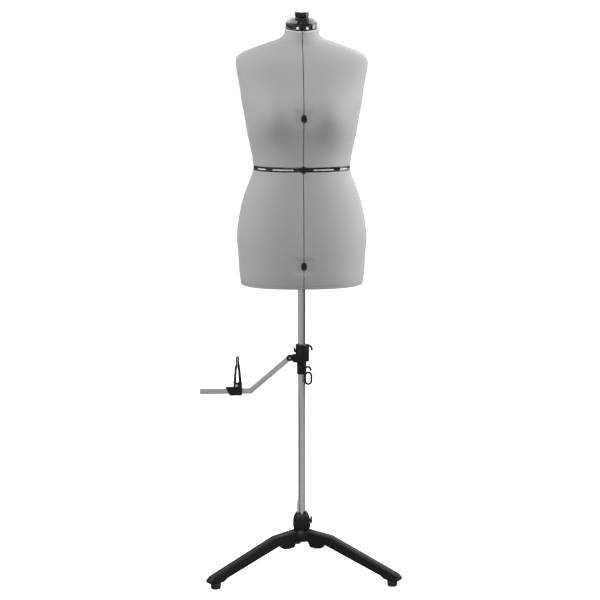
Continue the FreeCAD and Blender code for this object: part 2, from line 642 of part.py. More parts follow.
# ---------------------------------------------------------------- stand
def leg(degrees):
    """One leg of the base: near-level root, straight fall, rounded toe over its foot."""
    toe_top = (LEG_END_R - TOE_FALL, TOE_TOP_Z)
    slope = (LEG_KNEE[1] - toe_top[1]) / (toe_top[0] - LEG_KNEE[0])
    flat_in = FOOT_RING_R - FOOT_R - 4
    flat_z = FOOT_HEIGHT
    under_z = LEG_KNEE[1] - slope * (flat_in - 14 - LEG_KNEE[0]) - LEG_DEPTH
    points = [
        Vector(LEG_ROOT, 0, HUB_TOP_Z),
        Vector(LEG_KNEE[0], 0, LEG_KNEE[1]),
        Vector(toe_top[0], 0, toe_top[1]),
    ]
    toe_low = Vector(LEG_END_R - 5, 0, flat_z)
    under = [
        Vector(flat_in, 0, flat_z),
        Vector(flat_in - 14, 0, max(under_z, flat_z + 4)),
        Vector(LUG_END + 6, 0, LEG_KNEE[1] - LEG_DEPTH + 3),
        Vector(LUG_END, 0, LUG_BOTTOM_Z + 2),
        Vector(LUG_END - 4, 0, LUG_BOTTOM_Z),
        Vector(LEG_ROOT + 12, 0, LUG_BOTTOM_Z),
        Vector(LEG_ROOT + 8, 0, HUB_BOTTOM_Z),
        Vector(LEG_ROOT, 0, HUB_BOTTOM_Z),
    ]
    edges = [Part.makeLine(a, b) for a, b in zip(points, points[1:])]
    edges.append(Part.Arc(points[-1], Vector(LEG_END_R, 0, flat_z + 9), toe_low).toShape())
    loop = [toe_low] + under + [points[0]]
    edges += [Part.makeLine(a, b) for a, b in zip(loop, loop[1:])]
    side = Part.Face(Part.Wire(edges))
    side.translate(Vector(0, -LEG_WIDTH / 2, 0))
    shape = side.extrude(Vector(0, LEG_WIDTH, 0))
    toe_r = LEG_WIDTH * 0.62
    toe_x = LEG_END_R - toe_r
    plan = rod(toe_r, Vector(toe_x, 0, 0), Vector(toe_x, 0, HUB_TOP_Z + 1))
    plan = plan.fuse(box((0, toe_x), (-LEG_WIDTH, LEG_WIDTH), (0, HUB_TOP_Z + 1)))
    shape = shape.common(plan)
    top_edges = [
        edge for edge in shape.Edges
        if len(edge.Vertexes) == 2
        and abs(abs(edge.Vertexes[0].Y) - LEG_WIDTH / 2) < 0.01
        and abs(abs(edge.Vertexes[1].Y) - LEG_WIDTH / 2) < 0.01
        and abs(edge.Vertexes[0].X - edge.Vertexes[1].X) > 60
        and edge.Vertexes[0].Z > 30
    ]
    shape = shape.makeFillet(LEG_EDGE, top_edges)
    hole_top = Vector(SCREW_RING_R, 0, LUG_BOTTOM_Z + 25)
    shape = shape.cut(rod(SCREW_R + RUN_CLEAR, Vector(SCREW_RING_R, 0, LUG_BOTTOM_Z - 1), hole_top))
    return turned(shape, degrees)


def base_hub():
    """The moulded hub with a pocket for each leg and the pole's socket."""
    shape = rod(HUB_R, Vector(0, 0, HUB_BOTTOM_Z), Vector(0, 0, HUB_TOP_Z))
    half = LEG_WIDTH / 2 + SLIDE_CLEAR
    for degrees in LEG_ANGLES.values():
        pocket = box((LEG_ROOT - SLIDE_CLEAR, 2 * HUB_R), (-half, half), (HUB_BOTTOM_Z - 1, HUB_TOP_Z + 1))
        shape = shape.cut(turned(pocket, degrees))
    return shape.cut(rod(POLE_R + RUN_CLEAR, Vector(0, 0, POLE_BOTTOM_Z), Vector(0, 0, HUB_TOP_Z + 1)))


def leg_screws():
    """One screw up into the root of each leg."""
    screws = []
    for degrees in LEG_ANGLES.values():
        foot = Vector(SCREW_RING_R, 0, LUG_BOTTOM_Z)
        shank = rod(SCREW_R, foot, foot + UP * 24)
        head = rod(SCREW_HEAD_R, foot - UP * 3, foot)
        screws.append(turned(shank.fuse(head).removeSplitter(), degrees))
    return Part.makeCompound(screws)


def rubber_feet():
    """A tapered rubber foot under each leg."""
    feet = []
    for degrees in LEG_ANGLES.values():
        cone = Part.makeCone(FOOT_R - 1.5, FOOT_R, FOOT_HEIGHT, Vector(FOOT_RING_R, 0, 0))
        feet.append(turned(cone, degrees))
    return Part.makeCompound(feet)


def socket_collar():
    """The bevelled clamp block on the hub, scooped at the front, with the knob's bore."""
    right = [(half, SOCKET_TOP_Z - drop) for half, drop in SOCKET_LEVELS]
    right.append((SOCKET_LEVELS[-1][0], HUB_TOP_Z))
    outline = right + [(-half, z) for half, z in reversed(right)]
    across = prism(outline, -SOCKET_HALF, SOCKET_HALF)
    shape = across.common(turned(across, 90))
    corners = box((-SOCKET_HALF, SOCKET_HALF), (-SOCKET_HALF, SOCKET_HALF), (HUB_TOP_Z, SOCKET_TOP_Z))
    upright = [edge for edge in corners.Edges if edge.BoundBox.ZLength > 10]
    shape = shape.common(corners.makeChamfer(SOCKET_BEVEL, upright))
    scoop = rod(SOCKET_SCOOP_R, Vector(0, -2 * SOCKET_HALF, SOCKET_TOP_Z), Vector(0, 0, SOCKET_TOP_Z))
    pole = rod(POLE_R + RUN_CLEAR, Vector(0, 0, HUB_TOP_Z - 1), Vector(0, 0, SOCKET_TOP_Z + 1))
    bore = rod(KNOB_SHAFT_R + RUN_CLEAR, Vector(POLE_R, 0, KNOB_Z), Vector(2 * SOCKET_HALF, 0, KNOB_Z))
    return shape.cut([scoop, pole, bore])


def socket_knob():
    """The locking knob on the clamp block's right side."""
    start = SOCKET_HALF + EDGE_CLEAR
    knob = rod(KNOB_R, Vector(start, 0, KNOB_Z), Vector(KNOB_REACH, 0, KNOB_Z))
    shaft = rod(KNOB_SHAFT_R, Vector(POLE_R + 0.6, 0, KNOB_Z), Vector(start + 1, 0, KNOB_Z))
    return knob.fuse(shaft).removeSplitter()


def socket_sleeve():
    """The pale strip of the sleeve left of the pole, above the clamp block."""
    ring = tube(POLE_R + RUN_CLEAR, POLE_R + SLEEVE_WALL, SOCKET_TOP_Z, SOCKET_TOP_Z + SLEEVE_HEIGHT)
    low, high = SOCKET_TOP_Z, SOCKET_TOP_Z + SLEEVE_HEIGHT
    return ring.common(box((-2 * POLE_R, -POLE_R * 0.9), (-2 * POLE_R, 2 * POLE_R), (low, high)))


# ---------------------------------------------------------------- hem marker
def marker_band():
    """The lower clamp sleeve of the hem marker, with the boss for its screw."""
    shape = rod(BAND_R, Vector(0, 0, BAND_BOTTOM_Z), Vector(0, 0, BAND_TOP_Z))
    inner, outer = Vector(RING_X, 0, RING_Z), Vector(RING_X, -BAND_R - 3.5, RING_Z)
    shape = shape.fuse(rod(RING_SHAFT_R + 3, inner, outer))
    shape = shape.cut(rod(POLE_R + RUN_CLEAR, Vector(0, 0, BAND_BOTTOM_Z - 1), Vector(0, 0, BAND_TOP_Z + 1)))
    return shape.cut(rod(RING_SHAFT_R + RUN_CLEAR, Vector(RING_X, 0, RING_Z), Vector(RING_X, -40, RING_Z)))


def marker_bracket():
    """The swivelling upper sleeve with the arm's lug, a gusset, a fin and a cord hook."""
    low = BAND_TOP_Z + EDGE_CLEAR
    shape = rod(BRACKET_R, Vector(0, 0, low), Vector(0, 0, BRACKET_TOP_Z))
    rib_x, rib_y = BRACKET_RIB
    shape = shape.fuse(box((0, rib_x), (-rib_y, rib_y), (low, BRACKET_TOP_Z)))
    lug_y = lug_faces()
    half = ARM_WIDTH / 2 + 1
    root = PIVOT_X + half + EDGE_CLEAR
    shape = shape.fuse(box((PIVOT_X, 0), lug_y, (PIVOT_Z - half, PIVOT_Z + half)))
    shape = shape.fuse(rod(half, Vector(PIVOT_X, lug_y[0], PIVOT_Z), Vector(PIVOT_X, lug_y[1], PIVOT_Z)))
    shape = shape.fuse(box((root, 0), (lug_y[0], -BRACKET_R / 3), (low, PIVOT_Z + half)))
    side, top = -BRACKET_R, BRACKET_TOP_Z
    fin = [(side - 6, top - 8), (side - 3, top - 8), (side + 3, top - 20), (side - 4, top - 22)]
    shape = shape.fuse(prism(fin, -FIN_HALF, FIN_HALF))
    centre = Vector(BRACKET_R - 1, 0, BRACKET_TOP_Z - HOOK_R - HOOK_WIRE_R)
    hook = Part.makeTorus(HOOK_R, HOOK_WIRE_R, centre, Vector(0, 1, 0))
    shape = shape.fuse(hook.common(box((0, 2 * BRACKET_R + HOOK_R), (-9, 9), (centre.z - 1, BRACKET_TOP_Z))))
    shape = shape.cut(rod(POLE_R + RUN_CLEAR, Vector(0, 0, low - 1), Vector(0, 0, BRACKET_TOP_Z + 1)))
    bore = rod(PIN_R, Vector(PIVOT_X, lug_y[0] - 1, PIVOT_Z), Vector(PIVOT_X, lug_y[1] + 1, PIVOT_Z))
    return shape.cut(bore).removeSplitter()


def lug_faces():
    """Front and rear faces of the lug, just in front of the arm."""
    rear = ARM_FACE_Y - ARM_THICK - EDGE_CLEAR
    return rear - LUG_THICK, rear


def marker_arm_pin():
    """The rivet that the marker's arm turns on."""
    front, rear = lug_faces()[0], ARM_FACE_Y + EDGE_CLEAR
    shape = rod(PIN_R, Vector(PIVOT_X, rear, PIVOT_Z), Vector(PIVOT_X, front - PIN_PROUD, PIVOT_Z))
    tail = Vector(PIVOT_X, rear, PIVOT_Z)
    return shape.fuse(rod(PIN_R + 1.8, tail, tail + Vector(0, PIN_PROUD, 0)))


def marker_arm():
    """The flat bar: down from its pivot, then level out to the left."""
    half = ARM_WIDTH / 2
    fall = Vector(ARM_KNEE_X - PIVOT_X, 0, ARM_Z - PIVOT_Z)
    along = Vector(fall).normalize()
    side = Vector(-along.z, 0, along.x) * half
    mitre = half * math.tan(math.acos(-along.x) / 2)
    outline = [
        (PIVOT_X - side.x, PIVOT_Z - side.z),
        (ARM_KNEE_X - mitre, ARM_Z + half),
        (ARM_END_X, ARM_Z + half),
        (ARM_END_X, ARM_Z - half),
        (ARM_KNEE_X + mitre, ARM_Z - half),
        (PIVOT_X + side.x, PIVOT_Z + side.z),
    ]
    y = (ARM_FACE_Y - ARM_THICK, ARM_FACE_Y)
    shape = prism(outline, y[0], y[1])
    shape = shape.fuse(rod(half, Vector(PIVOT_X, y[0], PIVOT_Z), Vector(PIVOT_X, y[1], PIVOT_Z)))
    bore = rod(PIN_R + RUN_CLEAR, Vector(PIVOT_X, y[0] - 1, PIVOT_Z), Vector(PIVOT_X, y[1] + 1, PIVOT_Z))
    return shape.removeSplitter().cut(bore)


def marker_slider():
    """The block on the arm with the clip's fixed jaw and the cheeks for the moving one."""
    left, right = SLIDER_X
    low, high = SLIDER_Z
    front, rear = SLIDER_Y
    shape = prism([(left, high), (left + SLIDER_RAKE, low), (right, low), (right, high)], front, rear)
    split = JAW_SPLIT_X - JAW_HALF_GAP
    foot = JAW_SPLIT_X - 10.6
    fixed = [
        (foot, JAW_FOOT_Z - 1),
        (JAW_SPLIT_X - 3.4, JAW_FOOT_Z),
        (JAW_SPLIT_X - 3.4, JAW_FOOT_Z + 4),
        (JAW_SPLIT_X - 2, JAW_TOP_Z - 40),
        (split, JAW_TOP_Z - 28),
        (split, JAW_TOP_Z),
        (JAW_SPLIT_X - 4.2, JAW_TOP_Z - 3),
        (JAW_SPLIT_X - 4.2, JAW_TOP_Z - 24),
        (JAW_SPLIT_X - 7, JAW_TOP_Z - 31),
    ]
    shape = shape.fuse(prism(fixed, front, rear))
    for y in ((front, front + CHEEK), (rear - CHEEK, rear)):
        shape = shape.fuse(box((foot, right), y, (high - 1, JAW_FOOT_Z)))
    x, z = JAW_PIVOT
    pin = rod(JAW_PIN_R, Vector(x, front - 1, z), Vector(x, rear + 1, z))
    shape = shape.removeSplitter().cut(pin)
    half = ARM_WIDTH / 2 + SLIDE_CLEAR
    y = (ARM_FACE_Y - ARM_THICK - SLIDE_CLEAR, ARM_FACE_Y + SLIDE_CLEAR)
    return shape.cut(box((left - 9, right + 9), y, (ARM_Z - half, ARM_Z + half)))


def marker_jaw():
    """The clip's moving jaw on its eye."""
    x, z = JAW_PIVOT
    front = SLIDER_Y[0] + CHEEK + EDGE_CLEAR
    rear = SLIDER_Y[1] - CHEEK - EDGE_CLEAR
    split = JAW_SPLIT_X + JAW_HALF_GAP
    blade = [
        (x, z - 1),
        (SLIDER_X[1] - 1, z + 2.4),
        (SLIDER_X[1] - 0.6, JAW_FOOT_Z),
        (JAW_SPLIT_X + 7, JAW_TOP_Z - 25),
        (JAW_SPLIT_X + 5.2, JAW_TOP_Z - 19),
        (JAW_SPLIT_X + 4.6, JAW_TOP_Z),
        (split, JAW_TOP_Z + 1),
        (split, JAW_TOP_Z - 28),
        (JAW_SPLIT_X + 2, JAW_TOP_Z - 40),
        (JAW_SPLIT_X + 3.4, JAW_FOOT_Z + 4),
        (JAW_SPLIT_X + 2, JAW_FOOT_Z),
        (x, z + 3),
    ]
    shape = prism(blade, front, rear)
    shape = shape.fuse(rod(JAW_EYE_R - 0.8, Vector(x, front, z), Vector(x, rear, z))).removeSplitter()
    return shape.cut(rod(JAW_PIN_R + RUN_CLEAR, Vector(x, front - 1, z), Vector(x, rear + 1, z)))


def marker_jaw_screw():
    """The pivot screw of the moving jaw."""
    x, z = JAW_PIVOT
    front, rear = SLIDER_Y
    shape = rod(JAW_PIN_R, Vector(x, rear, z), Vector(x, front, z))
    return shape.fuse(rod(JAW_PIN_R + 1.6, Vector(x, front, z), Vector(x, front - 1.4, z)))


def marker_ring_screw():
    """The thumb screw that clamps the marker, with its long finger ring and a curved wing."""
    shape = rod(RING_SHAFT_R, Vector(RING_X, -POLE_R - 1.2, RING_Z), Vector(RING_X, RING_Y - 1.5, RING_Z))
    x, z = RING_CENTRE
    for side in (-1, 1):
        end = Vector(x, RING_Y, z + side * RING_HALF)
        turn = Part.makeTorus(RING_R, RING_WIRE_R, end, Vector(0, 1, 0))
        width = (x - 2 * RING_R, x + 2 * RING_R)
        half = box(width, (RING_Y - 5, RING_Y + 5), (end.z, end.z + side * 2 * RING_R))
        shape = shape.fuse(turn.common(half))
        low = Vector(x + side * RING_R, RING_Y, z - RING_HALF)
        shape = shape.fuse(rod(RING_WIRE_R, low, low + UP * 2 * RING_HALF))
    wing_x = RING_X + 1 + WING_R
    wing = Part.makeTorus(WING_R, RING_WIRE_R, Vector(wing_x, RING_Y, RING_Z), Vector(0, 1, 0))
    reach = WING_R + 2 * RING_WIRE_R
    upper = box((wing_x - reach, wing_x + reach), (RING_Y - 5, RING_Y + 5), (RING_Z - 3, RING_Z + reach))
    shape = shape.fuse(wing.common(upper))
    link = rod(RING_WIRE_R, Vector(RING_X, RING_Y, RING_Z), Vector(x - RING_R, RING_Y, z + RING_HALF))
    return shape.fuse(link).removeSplitter()


# ---------------------------------------------------------------- everything by name
def build():
    """Every piece by its node's name."""
    low_top = WAIST_Z - BELT_HEIGHT / 2
    high_low = WAIST_Z + BELT_HEIGHT / 2 + EDGE_CLEAR
    nodes = {
        "base_hub": base_hub(),
        "leg_screws": leg_screws(),
        "rubber_feet": rubber_feet(),
        "socket_collar": socket_collar(),
        "socket_knob": socket_knob(),
        "socket_sleeve": socket_sleeve(),
        "pole": rod(POLE_R, Vector(0, 0, POLE_BOTTOM_Z), Vector(0, 0, POLE_TOP_Z)),
        "marker_band": marker_band(),
        "marker_bracket": marker_bracket(),
        "marker_arm_pin": marker_arm_pin(),
        "marker_arm": marker_arm(),
        "marker_slider": marker_slider(),
        "marker_jaw": marker_jaw(),
        "marker_jaw_screw": marker_jaw_screw(),
        "marker_ring_screw": marker_ring_screw(),
        "height_lock": height_lock(),
        "lower_frame": lower_frame(),
        "upper_frame": upper_frame(),
        "neck_cap": neck_cap(),
        "neck_dial": neck_dial(),
    }
    for name, degrees in LEG_ANGLES.items():
        nodes[name] = leg(degrees)
    for side_x, side in ((-1, "left"), (1, "right")):
        nodes["neck_collar_" + side] = neck_collar(side_x)
        nodes["neck_stud_" + side] = neck_stud(side_x)
        for side_y, face in ((-1, "front"), (1, "back")):
            tail = face + "_" + side
            nodes["lower_panel_" + tail] = panel(
                LOWER_RINGS, side_x, side_y, HEM_Z, low_top, (HIP_DIAL_Z, WAIST_Z), HIP_DIAL_Z)
            nodes["upper_panel_" + tail] = panel(
                UPPER_RINGS, side_x, side_y, high_low, NECK_Z, (WAIST_Z, BUST_DIAL_Z), BUST_DIAL_Z)
            nodes["waist_belt_" + tail] = belt(side_x, side_y)
        upper_front = "upper_panel_front_" + side
        nodes[upper_front] = nodes[upper_front].cut(collar_room(side_x))
    for direction in DIRECTIONS:
        hip = reach_at(LOWER_RINGS, HIP_DIAL_Z, direction)
        waist = reach_at(LOWER_RINGS, WAIST_Z, direction)
        bust = reach_at(UPPER_RINGS, BUST_DIAL_Z, direction)
        reaches = {HIP_DIAL_Z: hip, WAIST_Z: waist}
        nodes["lower_adjuster_" + direction] = adjuster(direction, HIP_DIAL_Z, reaches)
        nodes["upper_adjuster_" + direction] = adjuster(direction, BUST_DIAL_Z, {BUST_DIAL_Z: bust})
        nodes["hip_dial_" + direction] = dial(direction, hip, HIP_DIAL_Z)
        nodes["waist_dial_" + direction] = dial(direction, waist, WAIST_Z)
        nodes["bust_dial_" + direction] = dial(direction, bust, BUST_DIAL_Z)
    return nodes


def main():
    """Builds every piece, puts the origin under the whole form's middle and writes the files."""
    os.makedirs("parts", exist_ok=True)
    nodes = build()
    whole = FreeCAD.BoundBox()
    for shape in nodes.values():
        whole.add(shape.BoundBox)
    middle = Vector(whole.Center.x, whole.Center.y, whole.ZMin)
    for name, shape in nodes.items():
        shape.translate(middle * -1)
        shape.exportStep("parts/" + name + ".step")
    print(len(nodes), "pieces; pole axis at", -round(middle.x, 3), -round(middle.y, 3))


main()
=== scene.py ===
"""Looks of a key-adjusted dress form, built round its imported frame."""
import logging
import math
from dataclasses import dataclass
from enum import Enum
from functools import lru_cache
from typing import Sequence, Union

import bmesh
import bpy
from mathutils import Matrix, Vector, noise


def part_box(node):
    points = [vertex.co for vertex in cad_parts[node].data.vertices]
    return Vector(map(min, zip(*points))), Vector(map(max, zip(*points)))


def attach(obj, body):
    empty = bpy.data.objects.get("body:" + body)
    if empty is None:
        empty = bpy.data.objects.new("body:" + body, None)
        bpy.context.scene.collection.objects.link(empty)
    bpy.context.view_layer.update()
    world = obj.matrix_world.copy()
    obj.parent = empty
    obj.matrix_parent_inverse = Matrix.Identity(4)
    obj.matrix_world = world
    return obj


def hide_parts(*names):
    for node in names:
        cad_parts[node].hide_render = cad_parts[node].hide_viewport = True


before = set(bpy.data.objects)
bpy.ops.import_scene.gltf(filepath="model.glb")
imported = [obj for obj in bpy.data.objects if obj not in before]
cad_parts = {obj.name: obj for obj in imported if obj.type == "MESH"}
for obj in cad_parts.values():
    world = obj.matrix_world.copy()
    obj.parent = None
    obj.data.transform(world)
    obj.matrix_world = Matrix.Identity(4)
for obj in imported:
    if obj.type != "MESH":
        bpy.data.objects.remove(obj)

LOG = logging.getLogger("dress_form")
MM = 0.001
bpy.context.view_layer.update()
POLE_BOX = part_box("pole")
AXIS = Vector(((POLE_BOX[0].x + POLE_BOX[1].x) / 2, (POLE_BOX[0].y + POLE_BOX[1].y) / 2, 0.0))
Number = Union[float, int]


class Level(Enum):
    """The two storeys of the body."""

    LOWER = "lower"
    UPPER = "upper"


class Side(Enum):
    """Left and right as the viewer in front sees them."""

    LEFT = -1
    RIGHT = 1


class Face(Enum):
    """Front and back of the form."""

    FRONT = -1
    BACK = 1


def label(choice: Enum) -> str:
    """The lower-case word of a named option."""
    return choice.name.lower()


# ------------------------------------------------------------------ shader maths
class Shade:
    """A shader socket that takes part in ordinary arithmetic."""

    def __init__(self, graph: "Graph", socket: bpy.types.NodeSocket) -> None:
        """Wraps one output socket of a graph."""
        self.graph = graph
        self.socket = socket

    def _math(self, operation: str, *values: Union["Shade", Number]) -> "Shade":
        """One Math node on the given values."""
        return self.graph.value("ShaderNodeMath", {"operation": operation}, dict(enumerate(values)))

    def __add__(self, other: Union["Shade", Number]) -> "Shade":
        """Sum."""
        return self._math("ADD", self, other)

    __radd__ = __add__

    def __sub__(self, other: Union["Shade", Number]) -> "Shade":
        """Difference."""
        return self._math("SUBTRACT", self, other)

    def __rsub__(self, other: Union["Shade", Number]) -> "Shade":
        """Difference from a number."""
        return self._math("SUBTRACT", other, self)

    def __mul__(self, other: Union["Shade", Number]) -> "Shade":
        """Product."""
        return self._math("MULTIPLY", self, other)

    __rmul__ = __mul__

    def __pow__(self, other: Union["Shade", Number]) -> "Shade":
        """Power."""
        return self._math("POWER", self, other)

    def clamp(self) -> "Shade":
        """The value held between 0 and 1."""
        return self.graph.value("ShaderNodeClamp", {}, {0: self})

    def fract(self) -> "Shade":
        """What follows the decimal point."""
        return self._math("FRACT", self)

    def size(self) -> "Shade":
        """The value without its sign."""
        return self._math("ABSOLUTE", self)

    def sine(self) -> "Shade":
        """The sine, in radians."""
        return self._math("SINE", self)


class Graph:
    """The node tree of one material, with its surface shader."""

    def __init__(self, name: str) -> None:
        """Makes an empty material of that name."""
        self.material = bpy.data.materials.new(name)
        self.material.use_nodes = True
        self.tree = self.material.node_tree
        self.tree.nodes.clear()

    def node(self, kind: str, settings: dict, inputs: dict) -> bpy.types.Node:
        """Adds any node.

        Args:
            kind: the node's type.
            settings: its own settings, such as an operation; set first.
            inputs: values or Shades by socket name or number.

        Returns:
            The new node.
        """
        node = self.tree.nodes.new(kind)
        for key, value in settings.items():
            setattr(node, key, value)
        for key, value in inputs.items():
            if isinstance(value, Shade):
                self.tree.links.new(value.socket, node.inputs[key])
            else:
                node.inputs[key].default_value = value
        return node

    def value(self, kind: str, settings: dict, inputs: dict, output: Union[int, str] = 0) -> Shade:
        """Adds a node and returns one of its outputs as a Shade."""
        return Shade(self, self.node(kind, settings, inputs).outputs[output])

    def place(self) -> Shade:
        """Object coordinates."""
        return self.value("ShaderNodeTexCoord", {}, {}, "Object")

    def stretched(self, scale: Sequence[float]) -> Shade:
        """Object coordinates stretched by a scale on each axis."""
        return self.value("ShaderNodeMapping", {}, {"Vector": self.place(), "Scale": scale})

    def noise(self, where: Shade, scale: float, detail: float = 2.0, rough: float = 0.5) -> Shade:
        """A noise value from 0 to 1."""
        inputs = {"Vector": where, "Scale": scale, "Detail": detail, "Roughness": rough}
        return self.value("ShaderNodeTexNoise", {}, inputs, "Fac")

    def mix(self, factor: Union[Shade, float], first: Sequence[float], second: Sequence[float]) -> Shade:
        """A colour between two colours."""
        settings = {"data_type": "RGBA"}
        inputs = {0: factor, 6: (*first, 1.0), 7: (*second, 1.0)}
        return self.value("ShaderNodeMix", settings, inputs, 2)

    def bump(self, height: Shade, distance: float, strength: float = 1.0) -> Shade:
        """A normal from a height, with its depth in metres."""
        inputs = {"Height": height, "Distance": distance, "Strength": strength}
        return self.value("ShaderNodeBump", {}, inputs)

    def finish(self, **sockets: Union[Shade, Number, Sequence[float]]) -> bpy.types.Material:
        """Adds the surface shader; a socket's name has _ for each space."""
        inputs = {key.replace("_", " "): value for key, value in sockets.items()}
        surface = self.value("ShaderNodeBsdfPrincipled", {}, inputs)
        self.node("ShaderNodeOutputMaterial", {}, {"Surface": surface})
        return self.material


@dataclass(frozen=True)
class Jersey:
    """The form's knitted cover: fine wales and courses, a heathered grey with painted shade in the knit's
    grooves, and a soft fuzz.
    """

    name: str = "grey_jersey"
    light: tuple = (0.392, 0.396, 0.401)
    dark: tuple = (0.335, 0.339, 0.344)
    wale: float = 1.1 * MM
    course: float = 0.8 * MM
    fuzz: float = 0.35

    def build(self) -> bpy.types.Material:
        """Makes the material; it follows the cover's own UV map, which is in metres."""
        g = Graph(self.name)
        where = g.node("ShaderNodeSeparateXYZ", {}, {0: g.value("ShaderNodeUVMap", {"uv_map": "cloth"}, {})})
        across, up = Shade(g, where.outputs[0]), Shade(g, where.outputs[1])
        column = ((across * (1 / self.wale)).fract() - 0.5).size() * 2
        row = ((up * (1 / self.course) + column * 0.4) * math.tau).sine() * 0.5 + 0.5
        knit = (1 - column ** 2.2) * 0.65 + row * 0.35
        heather = g.noise(g.place(), 700.0, 3.0, 0.6)
        cloud = g.noise(g.place(), 7.0, 2.0)
        # Painted shade: the knit's low grooves (1 - knit) are mixed towards the dark grey, on top of the
        # random heather and cloud tone.
        heather_and_groove_shade = (cloud * 0.45 + heather * 0.35 + (1 - knit) * 0.30 - 0.05).clamp()
        color = g.mix(heather_and_groove_shade, self.light, self.dark)
        height = knit + g.noise(g.place(), 900.0, 2.0) * 0.5
        return g.finish(
            Base_Color=color, Roughness=cloud * 0.1 + 0.84, Normal=g.bump(height, 0.22 * MM, 0.5),
            Sheen_Weight=self.fuzz, Sheen_Roughness=0.45, Specular_IOR_Level=0.25,
        )


@dataclass(frozen=True)
class Plastic:
    """Moulded plastic: a colour, a gloss and a fine grain, with duller rubbed patches."""

    name: str
    tint: tuple
    roughness: float
    grain: float = 0.02 * MM
    grain_scale: float = 1600.0
    coat: float = 0.0
    mirror: float = 0.5

    def build(self) -> bpy.types.Material:
        """Makes the material."""
        g = Graph(self.name)
        patches = g.noise(g.place(), 28.0, 3.0, 0.6)
        fine = g.noise(g.place(), self.grain_scale, 2.0)
        worn = tuple(min(1.0, c * 1.35 + 0.004) for c in self.tint)
        color = g.mix((patches * 0.8 + fine * 0.2 - 0.1).clamp(), self.tint, worn)
        rough = patches * (self.roughness * 0.45) + self.roughness * 0.75
        return g.finish(
            Base_Color=color, Roughness=rough, Normal=g.bump(fine, self.grain, 0.6),
            Coat_Weight=self.coat, Coat_Roughness=0.06, Specular_IOR_Level=self.mirror,
        )


@dataclass(frozen=True)
class Metal:
    """Bare or plated metal with streaks drawn along one axis."""

    name: str
    tint: tuple
    roughness: float
    streak: tuple = (900.0, 900.0, 12.0)
    streak_depth: float = 0.004 * MM
    variation: float = 0.35
    dulling: float = 0.86

    def build(self) -> bpy.types.Material:
        """Makes the material."""
        g = Graph(self.name)
        lines = g.noise(g.stretched(self.streak), 1.0, 2.0, 0.6)
        cloud = g.noise(g.place(), 22.0, 3.0)
        dull = tuple(c * self.dulling for c in self.tint)
        color = g.mix((cloud * 0.6 + lines * 0.4).clamp(), self.tint, dull)
        rough = lines * (self.roughness * self.variation) + cloud * 0.04 + self.roughness * 0.8
        return g.finish(
            Base_Color=color, Metallic=1.0, Roughness=rough, Normal=g.bump(lines, self.streak_depth, 0.5),
        )


@dataclass(frozen=True)
class Rubber:
    """Dull rubber with a sandy surface and floor dust low down."""

    name: str = "foot_rubber"
    tint: tuple = (0.016, 0.016, 0.017)
    dust: tuple = (0.060, 0.058, 0.055)

    def build(self) -> bpy.types.Material:
        """Makes the material."""
        g = Graph(self.name)
        fine = g.noise(g.place(), 1400.0, 3.0)
        patch = g.noise(g.place(), 60.0, 3.0)
        color = g.mix((patch * 1.6 - 0.75).clamp(), self.tint, self.dust)
        return g.finish(Base_Color=color, Roughness=fine * 0.1 + 0.72, Normal=g.bump(fine, 0.05 * MM, 0.6))


JERSEY = Jersey()
GLOSS_BLACK = Plastic("gloss_black", (0.0040, 0.0040, 0.0045), 0.09, 0.004 * MM, 500.0, 0.35)
SATIN_BLACK = Plastic("satin_black", (0.0050, 0.0051, 0.0058), 0.42, 0.03 * MM, 1500.0, 0.0, 0.26)
STUD_PALE = Plastic("stud_pale", (0.90, 0.90, 0.89), 0.22)
INNER_BLACK = Plastic("inner_black", (0.022, 0.022, 0.024), 0.48)
SHELL_GREY = Plastic("shell_grey", (0.42, 0.42, 0.41), 0.55, 0.04 * MM, 500.0)
SLEEVE_GREY = Plastic("sleeve_grey", (0.50, 0.51, 0.50), 0.38)
THREAD_GREY = Plastic("thread_grey", (0.20, 0.205, 0.21), 0.75)
BINDING_PALE = Plastic("binding_pale", (0.56, 0.565, 0.57), 0.80, 0.06 * MM, 1800.0)
STRIP_PALE = Plastic("strip_pale", (0.66, 0.67, 0.67), 0.30)
CHROME = Metal("pole_chrome", (0.74, 0.745, 0.74), 0.13, (500.0, 500.0, 8.0), 0.0006 * MM, 0.12, 0.95)
ARM_STEEL = Metal("arm_steel", (0.69, 0.695, 0.70), 0.42, (14.0, 900.0, 900.0), 0.008 * MM)
BRIGHT_STEEL = Metal("bright_steel", (0.80, 0.80, 0.79), 0.20, (200.0, 200.0, 200.0))
FRAME_STEEL = Metal("frame_steel", (0.52, 0.53, 0.54), 0.36)
FOOT_RUBBER = Rubber()


@lru_cache(maxsize=None)
def paint(finish: Union[Jersey, Plastic, Metal, Rubber]) -> bpy.types.Material:
    """The one material of a finish."""
    return finish.build()


# ------------------------------------------------------------------ mesh making
Grid = list[list[Vector]]
Outline = Sequence[tuple[float, float]]
WELD, SEAM_WELD = 1e-6, 2e-6


def placed(name: str, data: bpy.types.ID) -> bpy.types.Object:
    """Makes an object of some data and puts it in the scene."""
    thing = bpy.data.objects.new(name, data)
    bpy.context.scene.collection.objects.link(thing)
    return thing


def hidden_from(thing: bpy.types.Object, *rays: str) -> None:
    """Keeps kinds of rays from seeing a piece."""
    for ray in rays:
        setattr(thing, "visible_" + ray, False)


def moved(place: Matrix, x: float, y: float, z: float, turn: float = 0.0, axis: str = "X") -> Matrix:
    """A frame shifted within another and then turned about one axis, in radians."""
    return place @ Matrix.Translation(Vector((x, y, z))) @ Matrix.Rotation(turn, 4, axis)


